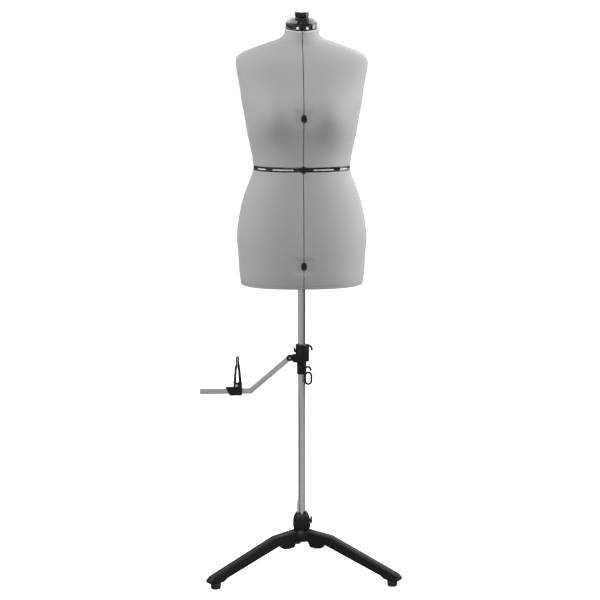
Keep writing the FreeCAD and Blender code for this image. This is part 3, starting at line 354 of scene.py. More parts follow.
def cleaned(mesh: bpy.types.Mesh, merge: float = 0.0, flat: float = 0.0) -> None:
    """Turns every face of a mesh outwards.

    Args:
        mesh: the mesh.
        merge: points nearer to each other than this become one first.
        flat: edges that turn less than this many degrees go too.
    """
    work = bmesh.new()
    work.from_mesh(mesh)
    if merge:
        bmesh.ops.remove_doubles(work, verts=work.verts, dist=merge)
    if flat:
        bmesh.ops.dissolve_limit(work, angle_limit=math.radians(flat), verts=work.verts, edges=work.edges)
    bmesh.ops.recalc_face_normals(work, faces=work.faces)
    work.to_mesh(mesh)
    work.free()


def make_piece(
    name: str, points: Sequence[Vector], faces: Sequence[Sequence[int]], finish: object, sharp: float = 40.0
) -> bpy.types.Object:
    """Makes a mesh object from points in the row frame.

    Args:
        name: the piece's name.
        points: the corners.
        faces: corner numbers of each face.
        finish: its finish.
        sharp: edges that turn more than this many degrees stay crisp.

    Returns:
        The new object, at the origin.
    """
    mesh = bpy.data.meshes.new(name)
    mesh.from_pydata([tuple(p) for p in points], [], [tuple(f) for f in faces])
    mesh.validate()
    piece = placed(name, mesh)
    cleaned(mesh, WELD)
    mesh.materials.append(paint(finish))
    mesh.shade_smooth()
    mesh.set_sharp_from_angle(angle=math.radians(sharp))
    return piece


def bevelled(
    piece: bpy.types.Object, width: float, segments: int = 2, angle: float = 35.0
) -> bpy.types.Object:
    """Rounds a piece's crisp edges and returns it."""
    bevel = piece.modifiers.new("edges", "BEVEL")
    bevel.width = width
    bevel.segments = segments
    bevel.limit_method = "ANGLE"
    bevel.angle_limit = math.radians(angle)
    bevel.use_clamp_overlap = True
    return applied(piece)


def applied(piece: bpy.types.Object) -> bpy.types.Object:
    """Turns a piece's modifiers into plain mesh and returns it."""
    graph = bpy.context.evaluated_depsgraph_get()
    graph.update()
    mesh = bpy.data.meshes.new_from_object(piece.evaluated_get(graph))
    old = piece.data
    piece.modifiers.clear()
    piece.data = mesh
    bpy.data.meshes.remove(old)
    mesh.shade_smooth()
    mesh.set_sharp_from_angle(angle=math.radians(40.0))
    return piece


def joined(name: str, pieces: Sequence[bpy.types.Object]) -> bpy.types.Object:
    """Makes one object of several, which are removed."""
    work = bmesh.new()
    materials: list[bpy.types.Material] = []
    for piece in pieces:
        start = len(work.faces)
        shift = {}
        for i, material in enumerate(piece.data.materials):
            if material not in materials:
                materials.append(material)
            shift[i] = materials.index(material)
        work.from_mesh(piece.data)
        work.faces.ensure_lookup_table()
        for face in work.faces[start:]:
            face.material_index = shift.get(face.material_index, 0)
    mesh = bpy.data.meshes.new(name)
    work.to_mesh(mesh)
    work.free()
    for material in materials:
        mesh.materials.append(material)
    whole = placed(name, mesh)
    for piece in pieces:
        bpy.data.objects.remove(piece)
    mesh.set_sharp_from_angle(angle=math.radians(40.0))
    return whole


def lofted(
    name: str, loops: Grid, finish: object, closed: bool = False, sharp: float = 40.0
) -> bpy.types.Object:
    """Skins a row of closed loops with equal counts, and caps the ends unless the row closes too."""
    count = len(loops[0])
    points = [p for loop in loops for p in loop]
    faces: list[list[int]] = []
    rows = len(loops)
    for r in range(rows if closed else rows - 1):
        after = (r + 1) % rows
        for c in range(count):
            d = (c + 1) % count
            faces.append([r * count + c, r * count + d, after * count + d, after * count + c])
    if not closed:
        faces.append(list(range(count)))
        faces.append([(rows - 1) * count + c for c in range(count)])
    return make_piece(name, points, faces, finish, sharp)


def turned(
    name: str, profile: Outline, place: Matrix, finish: object, steps: int = 48, sharp: float = 40.0
) -> bpy.types.Object:
    """Spins an outline of (radius, height) pairs about a frame's Z axis; it starts and ends on the axis."""
    points: list[Vector] = []
    rows: list[list[int]] = []
    for radius, height in profile:
        if radius < 1e-7:
            rows.append([len(points)] * steps)
            points.append(place @ Vector((0, 0, height)))
            continue
        rows.append(list(range(len(points), len(points) + steps)))
        for k in range(steps):
            angle = math.tau * k / steps
            points.append(place @ Vector((radius * math.cos(angle), radius * math.sin(angle), height)))
    faces = []
    for low, high in zip(rows, rows[1:]):
        for k in range(steps):
            n = (k + 1) % steps
            face = [low[k], low[n], high[n], high[k]]
            faces.append(list(dict.fromkeys(face)))
    return make_piece(name, points, [f for f in faces if len(f) > 2], finish, sharp)


def arc(centre: tuple[float, float], radius: float, start: float, end: float, steps: int = 6) -> list:
    """Points of an arc between two angles in degrees, both included."""
    found = []
    for k in range(steps + 1):
        angle = math.radians(start + (end - start) * k / steps)
        found.append((centre[0] + radius * math.cos(angle), centre[1] + radius * math.sin(angle)))
    return found


def oblong(left: float, right: float, low: float, high: float) -> list[tuple[float, float]]:
    """A rectangle's outline, anticlockwise."""
    return [(left, low), (right, low), (right, high), (left, high)]


def block(
    name: str, outline: Outline, depth: tuple[float, float], place: Matrix, finish: object
) -> bpy.types.Object:
    """Pushes a flat X-Z outline along Y, in a frame."""
    loops = [[place @ Vector((x, y, z)) for x, z in outline] for y in depth]
    return lofted(name, loops, finish)


def piped(
    name: str, path: Sequence[Vector], radius: float, finish: object, closed: bool, steps: int = 12
) -> bpy.types.Object:
    """A round bar along a path of points."""
    loops = []
    count = len(path)
    normal = Vector((0, 1, 0))
    for k, point in enumerate(path):
        before = path[(k - 1) % count] if closed or k else point
        after = path[(k + 1) % count] if closed or k < count - 1 else point
        way = (after - before).normalized()
        side = normal.cross(way).normalized()
        up = way.cross(side)
        loops.append([
            point + (side * math.cos(math.tau * s / steps) + up * math.sin(math.tau * s / steps)) * radius
            for s in range(steps)
        ])
    return lofted(name, loops, finish, closed, 60.0)


def cut_away(piece: bpy.types.Object, tool: bpy.types.Object) -> bpy.types.Object:
    """Takes a tool's shape out of a piece; the tool is removed."""
    boolean = piece.modifiers.new("cut", "BOOLEAN")
    boolean.operation = "DIFFERENCE"
    boolean.solver = "EXACT"
    boolean.object = tool
    applied(piece)
    bpy.data.objects.remove(tool)
    return piece


def settle(piece: bpy.types.Object, body: str, slot: str, *nodes: str) -> None:
    """Puts a finished piece on its body and hides the CAD nodes that it stands for."""
    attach(piece, body)
    if nodes:
        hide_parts(*nodes)
    LOG.info("%s: %d faces on %s", piece.name, len(piece.data.polygons), body)


def dress(node: str, finish: object) -> None:
    """Gives a CAD node a finish."""
    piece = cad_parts[node]
    material = paint(finish)
    if not piece.material_slots:
        piece.data.materials.append(material)
    for holder in piece.material_slots:
        holder.link = "OBJECT"
        holder.material = material
    LOG.info("%s: dressed in %s", node, material.name)


# ------------------------------------------------------------------ repeats
def wire(tree: bpy.types.NodeTree, joins: Sequence[tuple]) -> None:
    """Joins sockets by name; each row says from which node and output to which node and input."""
    for start, leaves, end, enters in joins:
        tree.links.new(start.outputs[leaves], end.inputs[enters])


def grown(name: str, mesh: bpy.types.Mesh, tree: bpy.types.NodeTree, values: dict) -> bpy.types.Object:
    """Makes a piece of a mesh, runs a geometry tree on it and leaves plain mesh."""
    piece = placed(name, mesh)
    modifier = piece.modifiers.new(name, "NODES")
    modifier.node_group = tree
    for key, value in values.items():
        modifier[key] = value
    return applied(piece)


class Repeat:
    """A geometry tree that sets equal small blocks round a circle."""

    def __init__(self, name: str, finish: object) -> None:
        """Builds the tree; its inputs are named Count, Radius, Block, Shift and Turn."""
        self.tree = bpy.data.node_groups.new(name, "GeometryNodeTree")
        face = self.tree.interface
        face.new_socket("Geometry", in_out="OUTPUT", socket_type="NodeSocketGeometry")
        kinds = {"Count": "Int", "Radius": "Float", "Block": "Vector", "Shift": "Vector", "Turn": "Vector"}
        self.inputs = {
            key: face.new_socket(key, in_out="INPUT", socket_type="NodeSocket" + kind).identifier
            for key, kind in kinds.items()
        }
        node = self.tree.nodes.new
        given, out = node("NodeGroupInput"), node("NodeGroupOutput")
        line, cube = node("GeometryNodeMeshCircle"), node("GeometryNodeMeshCube")
        copies, real = node("GeometryNodeInstanceOnPoints"), node("GeometryNodeRealizeInstances")
        place, turn = node("GeometryNodeInputPosition"), node("FunctionNodeAlignRotationToVector")
        turn.axis = "X"
        move, lean = node("GeometryNodeTransform"), node("FunctionNodeEulerToRotation")
        coat = node("GeometryNodeSetMaterial")
        coat.inputs["Material"].default_value = paint(finish)
        wire(self.tree, (
            (given, "Radius", line, "Radius"), (given, "Count", line, "Vertices"),
            (given, "Block", cube, "Size"), (line, "Mesh", copies, "Points"),
            (cube, "Mesh", copies, "Instance"),
            (place, "Position", turn, "Vector"), (turn, "Rotation", copies, "Rotation"),
            (copies, "Instances", real, "Geometry"), (real, "Geometry", move, "Geometry"),
            (given, "Shift", move, "Translation"), (given, "Turn", lean, "Euler"),
            (lean, "Rotation", move, "Rotation"), (move, "Geometry", coat, "Geometry"),
            (coat, "Geometry", out, "Geometry"),
        ))

    def make(self, name: str, **values: object) -> bpy.types.Object:
        """Makes a plain mesh piece.

        Args:
            name: the piece's name.
            values: the tree's inputs by name, in lower case.

        Returns:
            The piece, with no modifier left on it.
        """
        chosen = {self.inputs[key.capitalize()]: value for key, value in values.items()}
        return grown(name, bpy.data.meshes.new(name), self.tree, chosen)


class Stitches:
    """A geometry tree that lays equal short threads along a line of points."""

    def __init__(self, name: str, finish: object) -> None:
        """Builds the tree; its inputs are named Step and Thread."""
        self.tree = bpy.data.node_groups.new(name, "GeometryNodeTree")
        face = self.tree.interface
        line = face.new_socket("Geometry", in_out="INPUT", socket_type="NodeSocketGeometry")
        face.new_socket("Geometry", in_out="OUTPUT", socket_type="NodeSocketGeometry")
        self.step = face.new_socket("Step", in_out="INPUT", socket_type="NodeSocketFloat").identifier
        self.thread = face.new_socket("Thread", in_out="INPUT", socket_type="NodeSocketVector").identifier
        node = self.tree.nodes.new
        given, out = node("NodeGroupInput"), node("NodeGroupOutput")
        curve, spaced = node("GeometryNodeMeshToCurve"), node("GeometryNodeCurveToPoints")
        spaced.mode = "LENGTH"
        cube, turn = node("GeometryNodeMeshCube"), node("FunctionNodeAlignRotationToVector")
        turn.axis = "X"
        copies, real = node("GeometryNodeInstanceOnPoints"), node("GeometryNodeRealizeInstances")
        coat = node("GeometryNodeSetMaterial")
        coat.inputs["Material"].default_value = paint(finish)
        wire(self.tree, (
            (given, line.name, curve, "Mesh"), (curve, "Curve", spaced, "Curve"),
            (given, "Step", spaced, "Length"), (given, "Thread", cube, "Size"),
            (spaced, "Tangent", turn, "Vector"), (spaced, "Points", copies, "Points"),
            (cube, "Mesh", copies, "Instance"), (turn, "Rotation", copies, "Rotation"),
            (copies, "Instances", real, "Geometry"), (real, "Geometry", coat, "Geometry"),
            (coat, "Geometry", out, "Geometry"),
        ))

    def make(
        self, name: str, path: Sequence[Vector], step: float, thread: Sequence[float]
    ) -> bpy.types.Object:
        """Makes a row of threads.

        Args:
            name: the piece's name.
            path: the points that the row follows.
            step: distance from thread to thread.
            thread: length, width and height of one thread.

        Returns:
            The piece, with no modifier left on it.
        """
        mesh = bpy.data.meshes.new(name)
        mesh.from_pydata([tuple(p) for p in path], [(k, k + 1) for k in range(len(path) - 1)], [])
        piece = grown(name, mesh, self.tree, {self.step: step, self.thread: thread})
        return bevelled(piece, 0.12 * MM, 1)


# ------------------------------------------------------------------ the body's surface
@dataclass(frozen=True)
class Ring:
    """One ring of the body, in millimetres."""

    height: float
    half: float
    front: float
    back: float
    square: float


HEM_Z, WAIST_Z, NECK_Z = 797.0, 1106.0, 1470.0
DIAL_Z = {Level.LOWER: 858.0, Level.UPPER: 1240.0}
LOWER_RINGS = tuple(Ring(*row) for row in (
    (HEM_Z, 161, 116, 112, 2.30), (830, 165, 118, 117, 2.30), (880, 168, 118, 121, 2.30),
    (920, 171, 116, 121, 2.30), (976, 165, 110, 114, 2.25), (1008, 158.5, 106, 108, 2.20),
    (1040, 149, 102, 102, 2.20), (1072, 137, 98, 96, 2.15), (1092, 129.5, 96, 93, 2.15),
    (WAIST_Z, 127.5, 95, 92, 2.15),
))
UPPER_RINGS = tuple(Ring(*row) for row in (
    (WAIST_Z, 127.5, 95, 92, 2.15), (1120, 128, 95, 93, 2.15), (1167, 136.5, 98, 98, 2.20),
    (1200, 143.5, 102, 102, 2.25), (1245, 150.5, 104, 108, 2.30), (1277, 157, 103, 112, 2.35),
    (1308, 161, 98, 114, 2.40), (1339, 166, 91, 113, 2.45), (1368, 171, 82, 108, 2.50),
    (1385, 172, 75, 98, 2.45), (1394, 168, 71, 90, 2.40), (1402, 157, 67, 82, 2.35),
    (1411, 136, 62, 73, 2.25), (1420, 112, 57, 64, 2.15), (1429, 87, 52, 56, 2.10),
    (1438, 62, 47, 49, 2.05), (1452, 46, 44.5, 45, 2.00), (NECK_Z, 43, 43, 43, 2.00),
))
RINGS = {Level.LOWER: LOWER_RINGS, Level.UPPER: UPPER_RINGS}
NECK_TILT = math.radians(12.0)
TILT_FROM_Z, TILT_FULL_Z = 1255.0, 1452.0
PANEL_GAP = 1.5
BELT_HEIGHT = 12.0


@lru_cache(maxsize=None)
def ring_at(level: Level, z: float) -> tuple[float, float, float, float]:
    """Half width, front and back depth and squareness at a height, by a monotone cubic."""
    rings = RINGS[level]
    heights = [ring.height for ring in rings]
    last = len(rings) - 2
    i = max((k for k in range(last + 1) if heights[k] <= z), default=0)
    span = heights[i + 1] - heights[i]
    t = (z - heights[i]) / span
    found = []
    for key in ("half", "front", "back", "square"):
        values = [getattr(ring, key) for ring in rings]
        rises = [(b - a) / (hb - ha) for a, b, ha, hb in zip(values, values[1:], heights, heights[1:])]
        slopes = []
        for k in (i, i + 1):
            if k in (0, last + 1):
                slopes.append(rises[min(k, last)])
            elif rises[k - 1] * rises[k] <= 0:
                slopes.append(0.0)
            else:
                slopes.append(2 * rises[k - 1] * rises[k] / (rises[k - 1] + rises[k]))
        a, b = values[i], values[i + 1]
        found.append(
            (2 * t**3 - 3 * t**2 + 1) * a + (t**3 - 2 * t**2 + t) * span * slopes[0]
            + (3 * t**2 - 2 * t**3) * b + (t**3 - t**2) * span * slopes[1]
        )
    return tuple(found)


def ease(value: float) -> float:
    """A smooth step from 0 to 1."""
    held = min(1.0, max(0.0, value))
    return held * held * (3 - 2 * held)


@dataclass
class Figure:
    """The outer surface of the body, in millimetres about the pole."""

    bust_x: float = 76.0
    bust_z: float = 1243.0
    bust_rise: float = 27.0
    bust_width: float = 46.0
    bust_up: float = 46.0
    bust_down: float = 40.0
    step_up: float = 0.5
    step_round: float = 0.004

    def mound(self, x: float, z: float) -> float:
        """How far the bust stands out in front of the plain rings."""
        spread = self.bust_up if z > self.bust_z else self.bust_down
        high = math.exp(-(((z - self.bust_z) / spread) ** 2) / 2)
        across = sum(math.exp(-(((x - side * self.bust_x) / self.bust_width) ** 2) / 2) for side in (-1, 1))
        return self.bust_rise * high * across

    def slope(self, z: float) -> float:
        """How steeply the ring at a height leans, front low."""
        return math.tan(NECK_TILT) * ease((z - TILT_FROM_Z) / (TILT_FULL_Z - TILT_FROM_Z))

    def skin(self, level: Level, z: float, turn: float, face: Face) -> Vector:
        """A surface point on the right half; turn runs from 0 at the centre line to 1 at the side."""
        half, front, back, square = ring_at(level, z)
        angle = turn * math.pi / 2
        sine, cosine = math.sin(angle), max(math.cos(angle), 0.0)
        if turn >= 1:
            cosine = 0.0
        reach = (sine**square + cosine**square) ** (-1 / square)
        x, drop = half * reach * sine, reach * cosine
        y = face.value * drop * (front if face is Face.FRONT else back)
        if face is Face.FRONT:
            y -= self.mound(x, z) * min(1.0, 2.5 * drop)
        return Vector((x, y, z + self.slope(z) * y))

    def normal(self, level: Level, z: float, turn: float, face: Face) -> Vector:
        """The outward direction of the surface at a point."""
        low, high = RINGS[level][0].height, RINGS[level][-1].height
        above = self.skin(level, min(z + self.step_up, high), turn, face)
        below = self.skin(level, max(z - self.step_up, low), turn, face)
        after = self.skin(level, z, min(turn + self.step_round, 1.0), face)
        before = self.skin(level, z, max(turn - self.step_round, 0.0), face)
        found = (after - before).cross(above - below)
        here = self.skin(level, z, turn, face)
        if found.dot(Vector((here.x, here.y, 0))) < 0:
            found.negate()
        if turn <= 0:
            found.x = 0
        if turn >= 1:
            found.y = 0
        return found.normalized()

    def reach(self, level: Level, z: float, direction: str) -> float:
        """Distance from the pole's axis to the surface at a centre line or a side."""
        if direction in ("left", "right"):
            return self.skin(level, z, 1.0, Face.FRONT).x + PANEL_GAP / 2
        face = Face.FRONT if direction == "front" else Face.BACK
        return abs(self.skin(level, z, 0.0, face).y) + PANEL_GAP / 2


FIGURE = Figure()
DIRECTIONS = {"right": 0.0, "back": 90.0, "left": 180.0, "front": 270.0}


def facing(direction: str) -> Matrix:
    """The frame, in millimetres, whose X axis points out of the form in one direction."""
    turn = Matrix.Rotation(math.radians(DIRECTIONS[direction]), 4, "Z")
    return Matrix.Translation(AXIS) @ Matrix.Scale(MM, 4) @ turn


ON_POLE = Matrix.Translation(AXIS) @ Matrix.Scale(MM, 4)


def quarter(side: Side, face: Face) -> Vector:
    """How far a quarter of the body stands off both centre lines, in millimetres."""
    return Vector((side.value * PANEL_GAP / 2, face.value * PANEL_GAP / 2, 0))


@dataclass
class Cover:
    """The eight padded panels with their jersey, edges turned in at every seam."""

    wall: float = 5.0
    edge_radius: float = 1.7
    pillow: float = 0.35
    pillow_reach: float = 7.0
    dish: float = 2.4
    dish_half: tuple = (27.0, 21.0)
    hole_half: tuple = (7.5, 10.6)
    hole_depth: float = 22.0
    ripple: float = 0.30
    ripple_scale: float = 0.016
    ripple_fade: float = 12.0
    hem_line: float = 7.0
    hem_groove: float = 0.45
    groove_half: float = 0.9
    depth_travel: float = 15.0
    collar_reach: float = 42.9
    shoulder_z: float = 1378.0
    rack_inset: float = 17.0
    rack_half: float = 1.8
    rack_height: float = 4.0
    rack_ends: tuple = (-26.0, 37.0)
    foot_half: float = 1.6
    foot_ends: tuple = (25.2, 36.8)
    shell_inset: float = 3.2

    def turns(self) -> list[float]:
        """Places round a quarter ring, close together at its edges."""
        fine = [0.0, 0.002, 0.005, 0.009, 0.014, 0.020, 0.030, 0.045]
        middle = [0.065 + k * (0.87 / 44) for k in range(45)]
        return fine + middle + [1 - t for t in reversed(fine)]

    def heights(self, low: float, high: float) -> list[float]:
        """Heights up a panel, close together at its rims and over the shoulder."""
        fine = [0.0, 0.4, 1.0, 1.7, 2.6, 4.0, 6.0, 9.0]
        found = [low + step for step in fine[:6] + [5.4, 6.3, 7.0, 7.7, 8.6, 10.5]]
        while found[-1] < high - 14:
            found.append(found[-1] + (5.0 if found[-1] < self.shoulder_z else 1.6))
        top = fine if high < self.shoulder_z else fine + [12.0]
        return found + [high - step for step in reversed(top) if high - step > found[-1] + 0.3]

    def dished(self, level: Level, point: Vector) -> float:
        """How deep the cover dips round the dials' bosses."""
        across = 1 - ease((abs(point.x) - self.dish_half[0] + 8) / 9)
        up = 1 - ease((abs(point.z - DIAL_Z[level]) - self.dish_half[1] + 5) / 6)
        return max(0.0, self.dish * across * up)

    def grids(self, level: Level, side: Side, face: Face) -> tuple[Grid, Grid, Grid]:
        """Outer points, inner points and cloth coordinates of one panel, rows from hem to top."""
        low = HEM_Z if level is Level.LOWER else WAIST_Z + BELT_HEIGHT / 2 + 0.4
        high = WAIST_Z - BELT_HEIGHT / 2 if level is Level.LOWER else NECK_Z
        turns, heights = self.turns(), self.heights(low, high)
        rim_low = [FIGURE.skin(level, low, t, face) for t in turns]
        rim_high = [FIGURE.skin(level, high, t, face) for t in turns]
        shift = quarter(side, face)
        outer, inner, cloth = [], [], []
        rise = [0.0] * len(turns)
        before: list[Vector] = []
        for z in heights:
            row = [FIGURE.skin(level, z, t, face) for t in turns]
            if before:
                rise = [r + (p - q).length for r, p, q in zip(rise, row, before)]
            before = row
            out_row, in_row, cloth_row = [], [], []
            along = 0.0
            for k, (t, point) in enumerate(zip(turns, row)):
                along += (point - row[k - 1]).length if k else 0.0
                normal = FIGURE.normal(level, z, t, face)
                gaps = [(point - end).length for end in (row[0], row[-1], rim_low[k], rim_high[k])]
                inset = min(self.edge_radius, sum(self.rolled(gap) for gap in gaps))
                inset += self.pillow * math.exp(-((min(gaps) / self.pillow_reach) ** 2))
                inset += self.dished(level, point)
                sample = Vector((point.x, point.y * face.value, point.z)) * self.ripple_scale + shift * 9
                inset -= self.ripple * noise.noise(sample) * ease(min(gaps) / self.ripple_fade)
                if level is Level.LOWER:
                    off = (z - low - self.hem_line) / self.groove_half
                    inset += self.hem_groove * math.exp(-(off ** 2))
                if z in (low, high):
                    normal.z = FIGURE.slope(z) * normal.y
                for depth, target in ((inset, out_row), (self.wall, in_row)):
                    found = point - normal * depth
                    found.x *= side.value
                    target.append(ON_POLE @ (found + shift))
                cloth_row.append(Vector((along * MM * side.value, rise[k] * MM, 0)))
            outer.append(out_row)
            inner.append(in_row)
            cloth.append(cloth_row)
        return outer, inner, cloth

    def rolled(self, gap: float) -> float:
        """How far a rounded edge has dropped at a distance from the seam."""
        if gap >= self.edge_radius:
            return 0.0
        reach = self.edge_radius - gap
        return self.edge_radius - math.sqrt(self.edge_radius**2 - reach**2)

    def panel(self, level: Level, side: Side, face: Face) -> bpy.types.Object:
        """One panel as a closed shell, jersey outside and bare shell inside."""
        name = f"cover_{level.value}_{label(face)}_{label(side)}"
        outer, inner, cloth = self.grids(level, side, face)
        rows, columns = len(outer), len(outer[0])
        points = [p for grid in (outer, inner) for row in grid for p in row]
        base = rows * columns
        faces = []
        for start, flip in ((0, False), (base, True)):
            for r in range(rows - 1):
                for c in range(columns - 1):
                    at = start + r * columns + c
                    quad = [at, at + 1, at + columns + 1, at + columns]
                    faces.append(quad[::-1] if flip else quad)
        shell_faces = len(faces) // 2
        rim = list(range(columns)) + [r * columns + columns - 1 for r in range(1, rows)]
        rim += [(rows - 1) * columns + c for c in range(columns - 2, -1, -1)]
        rim += [r * columns for r in range(rows - 2, 0, -1)]
        for a, b in zip(rim, rim[1:] + rim[:1]):
            faces.append([b, a, a + base, b + base])
        piece = self.cloth_piece(name, points, faces, [p for row in cloth for p in row] * 2, shell_faces)
        self.open_holes(piece, level, side, face)
        if level is Level.UPPER and face is Face.FRONT:
            cut_away(piece, self.collar_room())
        return piece

    def collar_room(self) -> bpy.types.Object:
        """The room a front panel leaves for the collar, which it would rise into as it slides out."""
        loops = []
        for slide in (-1.0, self.depth_travel):
            place = moved(ON_POLE, 0, slide, NECK_Z, NECK_TILT)
            ring = arc((0.0, 0.0), self.collar_reach, 0, 355, 71)
            loops.append([place @ Vector((x, y, 0)) for x, y in ring])
        return lofted("collar_room", loops, SHELL_GREY)

    def cloth_piece(
        self, name: str, points: list[Vector], faces: list[list[int]], cloth: list[Vector], shell_faces: int
    ) -> bpy.types.Object:
        """Makes the mesh with its cloth map and its two finishes."""
        mesh = bpy.data.meshes.new(name)
        mesh.from_pydata([tuple(p) for p in points], [], faces)
        layer = mesh.uv_layers.new(name="cloth")
        for loop in mesh.loops:
            layer.data[loop.index].uv = cloth[loop.vertex_index].xy
        for polygon in mesh.polygons:
            polygon.material_index = 1 if shell_faces <= polygon.index < 2 * shell_faces else 0
        for finish in (JERSEY, SHELL_GREY):
            mesh.materials.append(paint(finish))
        piece = placed(name, mesh)
        cleaned(mesh)
        mesh.shade_smooth()
        mesh.set_sharp_from_angle(angle=math.radians(60.0))
        return piece

    def open_holes(self, piece: bpy.types.Object, level: Level, side: Side, face: Face) -> None:
        """Cuts the oval openings for the dials' bosses."""
        half_w, half_h = self.hole_half
        for z in sorted((DIAL_Z[level], WAIST_Z)):
            for direction in (label(side), label(face)):
                reach = FIGURE.reach(level, z, direction)
                outline = arc((0.0, z + half_h - half_w), half_w, 0, 180, 12)
                outline += arc((0.0, z - half_h + half_w), half_w, 180, 360, 12)
                loops = [
                    [facing(direction) @ Vector((reach + step, a, b)) for a, b in outline]
                    for step in (-self.hole_depth, self.hole_depth)
                ]
                cut_away(piece, lofted("hole", loops, SHELL_GREY))

    def racks(self, level: Level, side: Side, face: Face) -> bpy.types.Object:
        """The panel's two rack bars with the feet that hold them to the shell."""
        z = DIAL_Z[level]
        bars = []
        for direction in (label(side), label(face)):
            along_side = direction == label(side)
            middle = FIGURE.reach(level, z, direction) - self.rack_inset
            way = face.value if direction == "right" else -face.value
            if not along_side:
                way = side.value if direction == "front" else -side.value
            above = face is Face.FRONT if along_side else side is Side.LEFT
            low = z + 7.3 if above else z - 11.3
            high = low + self.rack_height
            outline = oblong(middle - self.rack_half, middle + self.rack_half, low, high)
            ends = tuple(way * end for end in self.rack_ends)
            bars.append(bevelled(block("rack", outline, ends, facing(direction), INNER_BLACK), 0.4 * MM))
            deep = self.shell_depth(level, face, z, along_side)
            outline = oblong(middle - self.foot_half, deep, low + 0.2, high - 0.2)
            ends = tuple(way * end for end in self.foot_ends)
            bars.append(block("rack_foot", outline, ends, facing(direction), INNER_BLACK))
        return joined(f"racks_{level.value}_{label(face)}_{label(side)}", bars)

    def shell_depth(self, level: Level, face: Face, z: float, along_side: bool) -> float:
        """Distance from the pole to the middle of the shell where a rack's foot meets it."""
        best = 0.0
        for k in range(101):
            point = FIGURE.skin(level, z, k / 100, face)
            off, out = (abs(point.y), point.x) if along_side else (point.x, abs(point.y))
            if 25.0 <= off <= 37.0:
                best = out if best == 0.0 else min(best, out)
        return best - self.shell_inset

    def edge_line(self, level: Level, side: Side, face: Face, z: float, out: float) -> list[Vector]:
        """A line round a panel at a height, a little outside its surface."""
        shift = quarter(side, face)
        path = []
        for k in range(61):
            turn = 0.012 + 0.976 * k / 60
            spot = FIGURE.skin(level, z, turn, face) + FIGURE.normal(level, z, turn, face) * out
            path.append(ON_POLE @ (Vector((spot.x * side.value, spot.y, spot.z)) + shift))
        return path

    def hem_stitches(self, side: Side, face: Face) -> bpy.types.Object:
        """The row of stitches along a lower panel's hem."""
        path = self.edge_line(Level.LOWER, side, face, HEM_Z + self.hem_line, -0.45)
        name = f"hem_stitches_{label(face)}_{label(side)}"
        return Stitches("hem_stitch", THREAD_GREY).make(name, path, 3.4 * MM, (2.3 * MM, 0.5 * MM, 0.5 * MM))

    def neck_binding(self, side: Side, face: Face) -> bpy.types.Object:
        """The pale bound edge of an upper panel, under the collar."""
        path = self.edge_line(Level.UPPER, side, face, NECK_Z - 1.5, -0.6)
        return piped(f"neck_binding_{label(face)}_{label(side)}", path, 1.3 * MM, BINDING_PALE, False, 10)

    def make(self) -> None:
        """Makes all eight panels with their racks and edges."""
        for side in Side:
            for face in Face:
                tail = f"{label(face)}_{label(side)}"
                settle(self.hem_stitches(side, face), "lower_" + tail, "cover_fabric")
                settle(self.neck_binding(side, face), "upper_" + tail, "cover_fabric")
        for level in Level:
            for side in Side:
                for face in Face:
                    body = f"{level.value}_{label(face)}_{label(side)}"
                    node = f"{level.value}_panel_{label(face)}_{label(side)}"
                    settle(self.panel(level, side, face), body, "cover_fabric", node)
                    settle(self.racks(level, side, face), body, "inner_plastic")


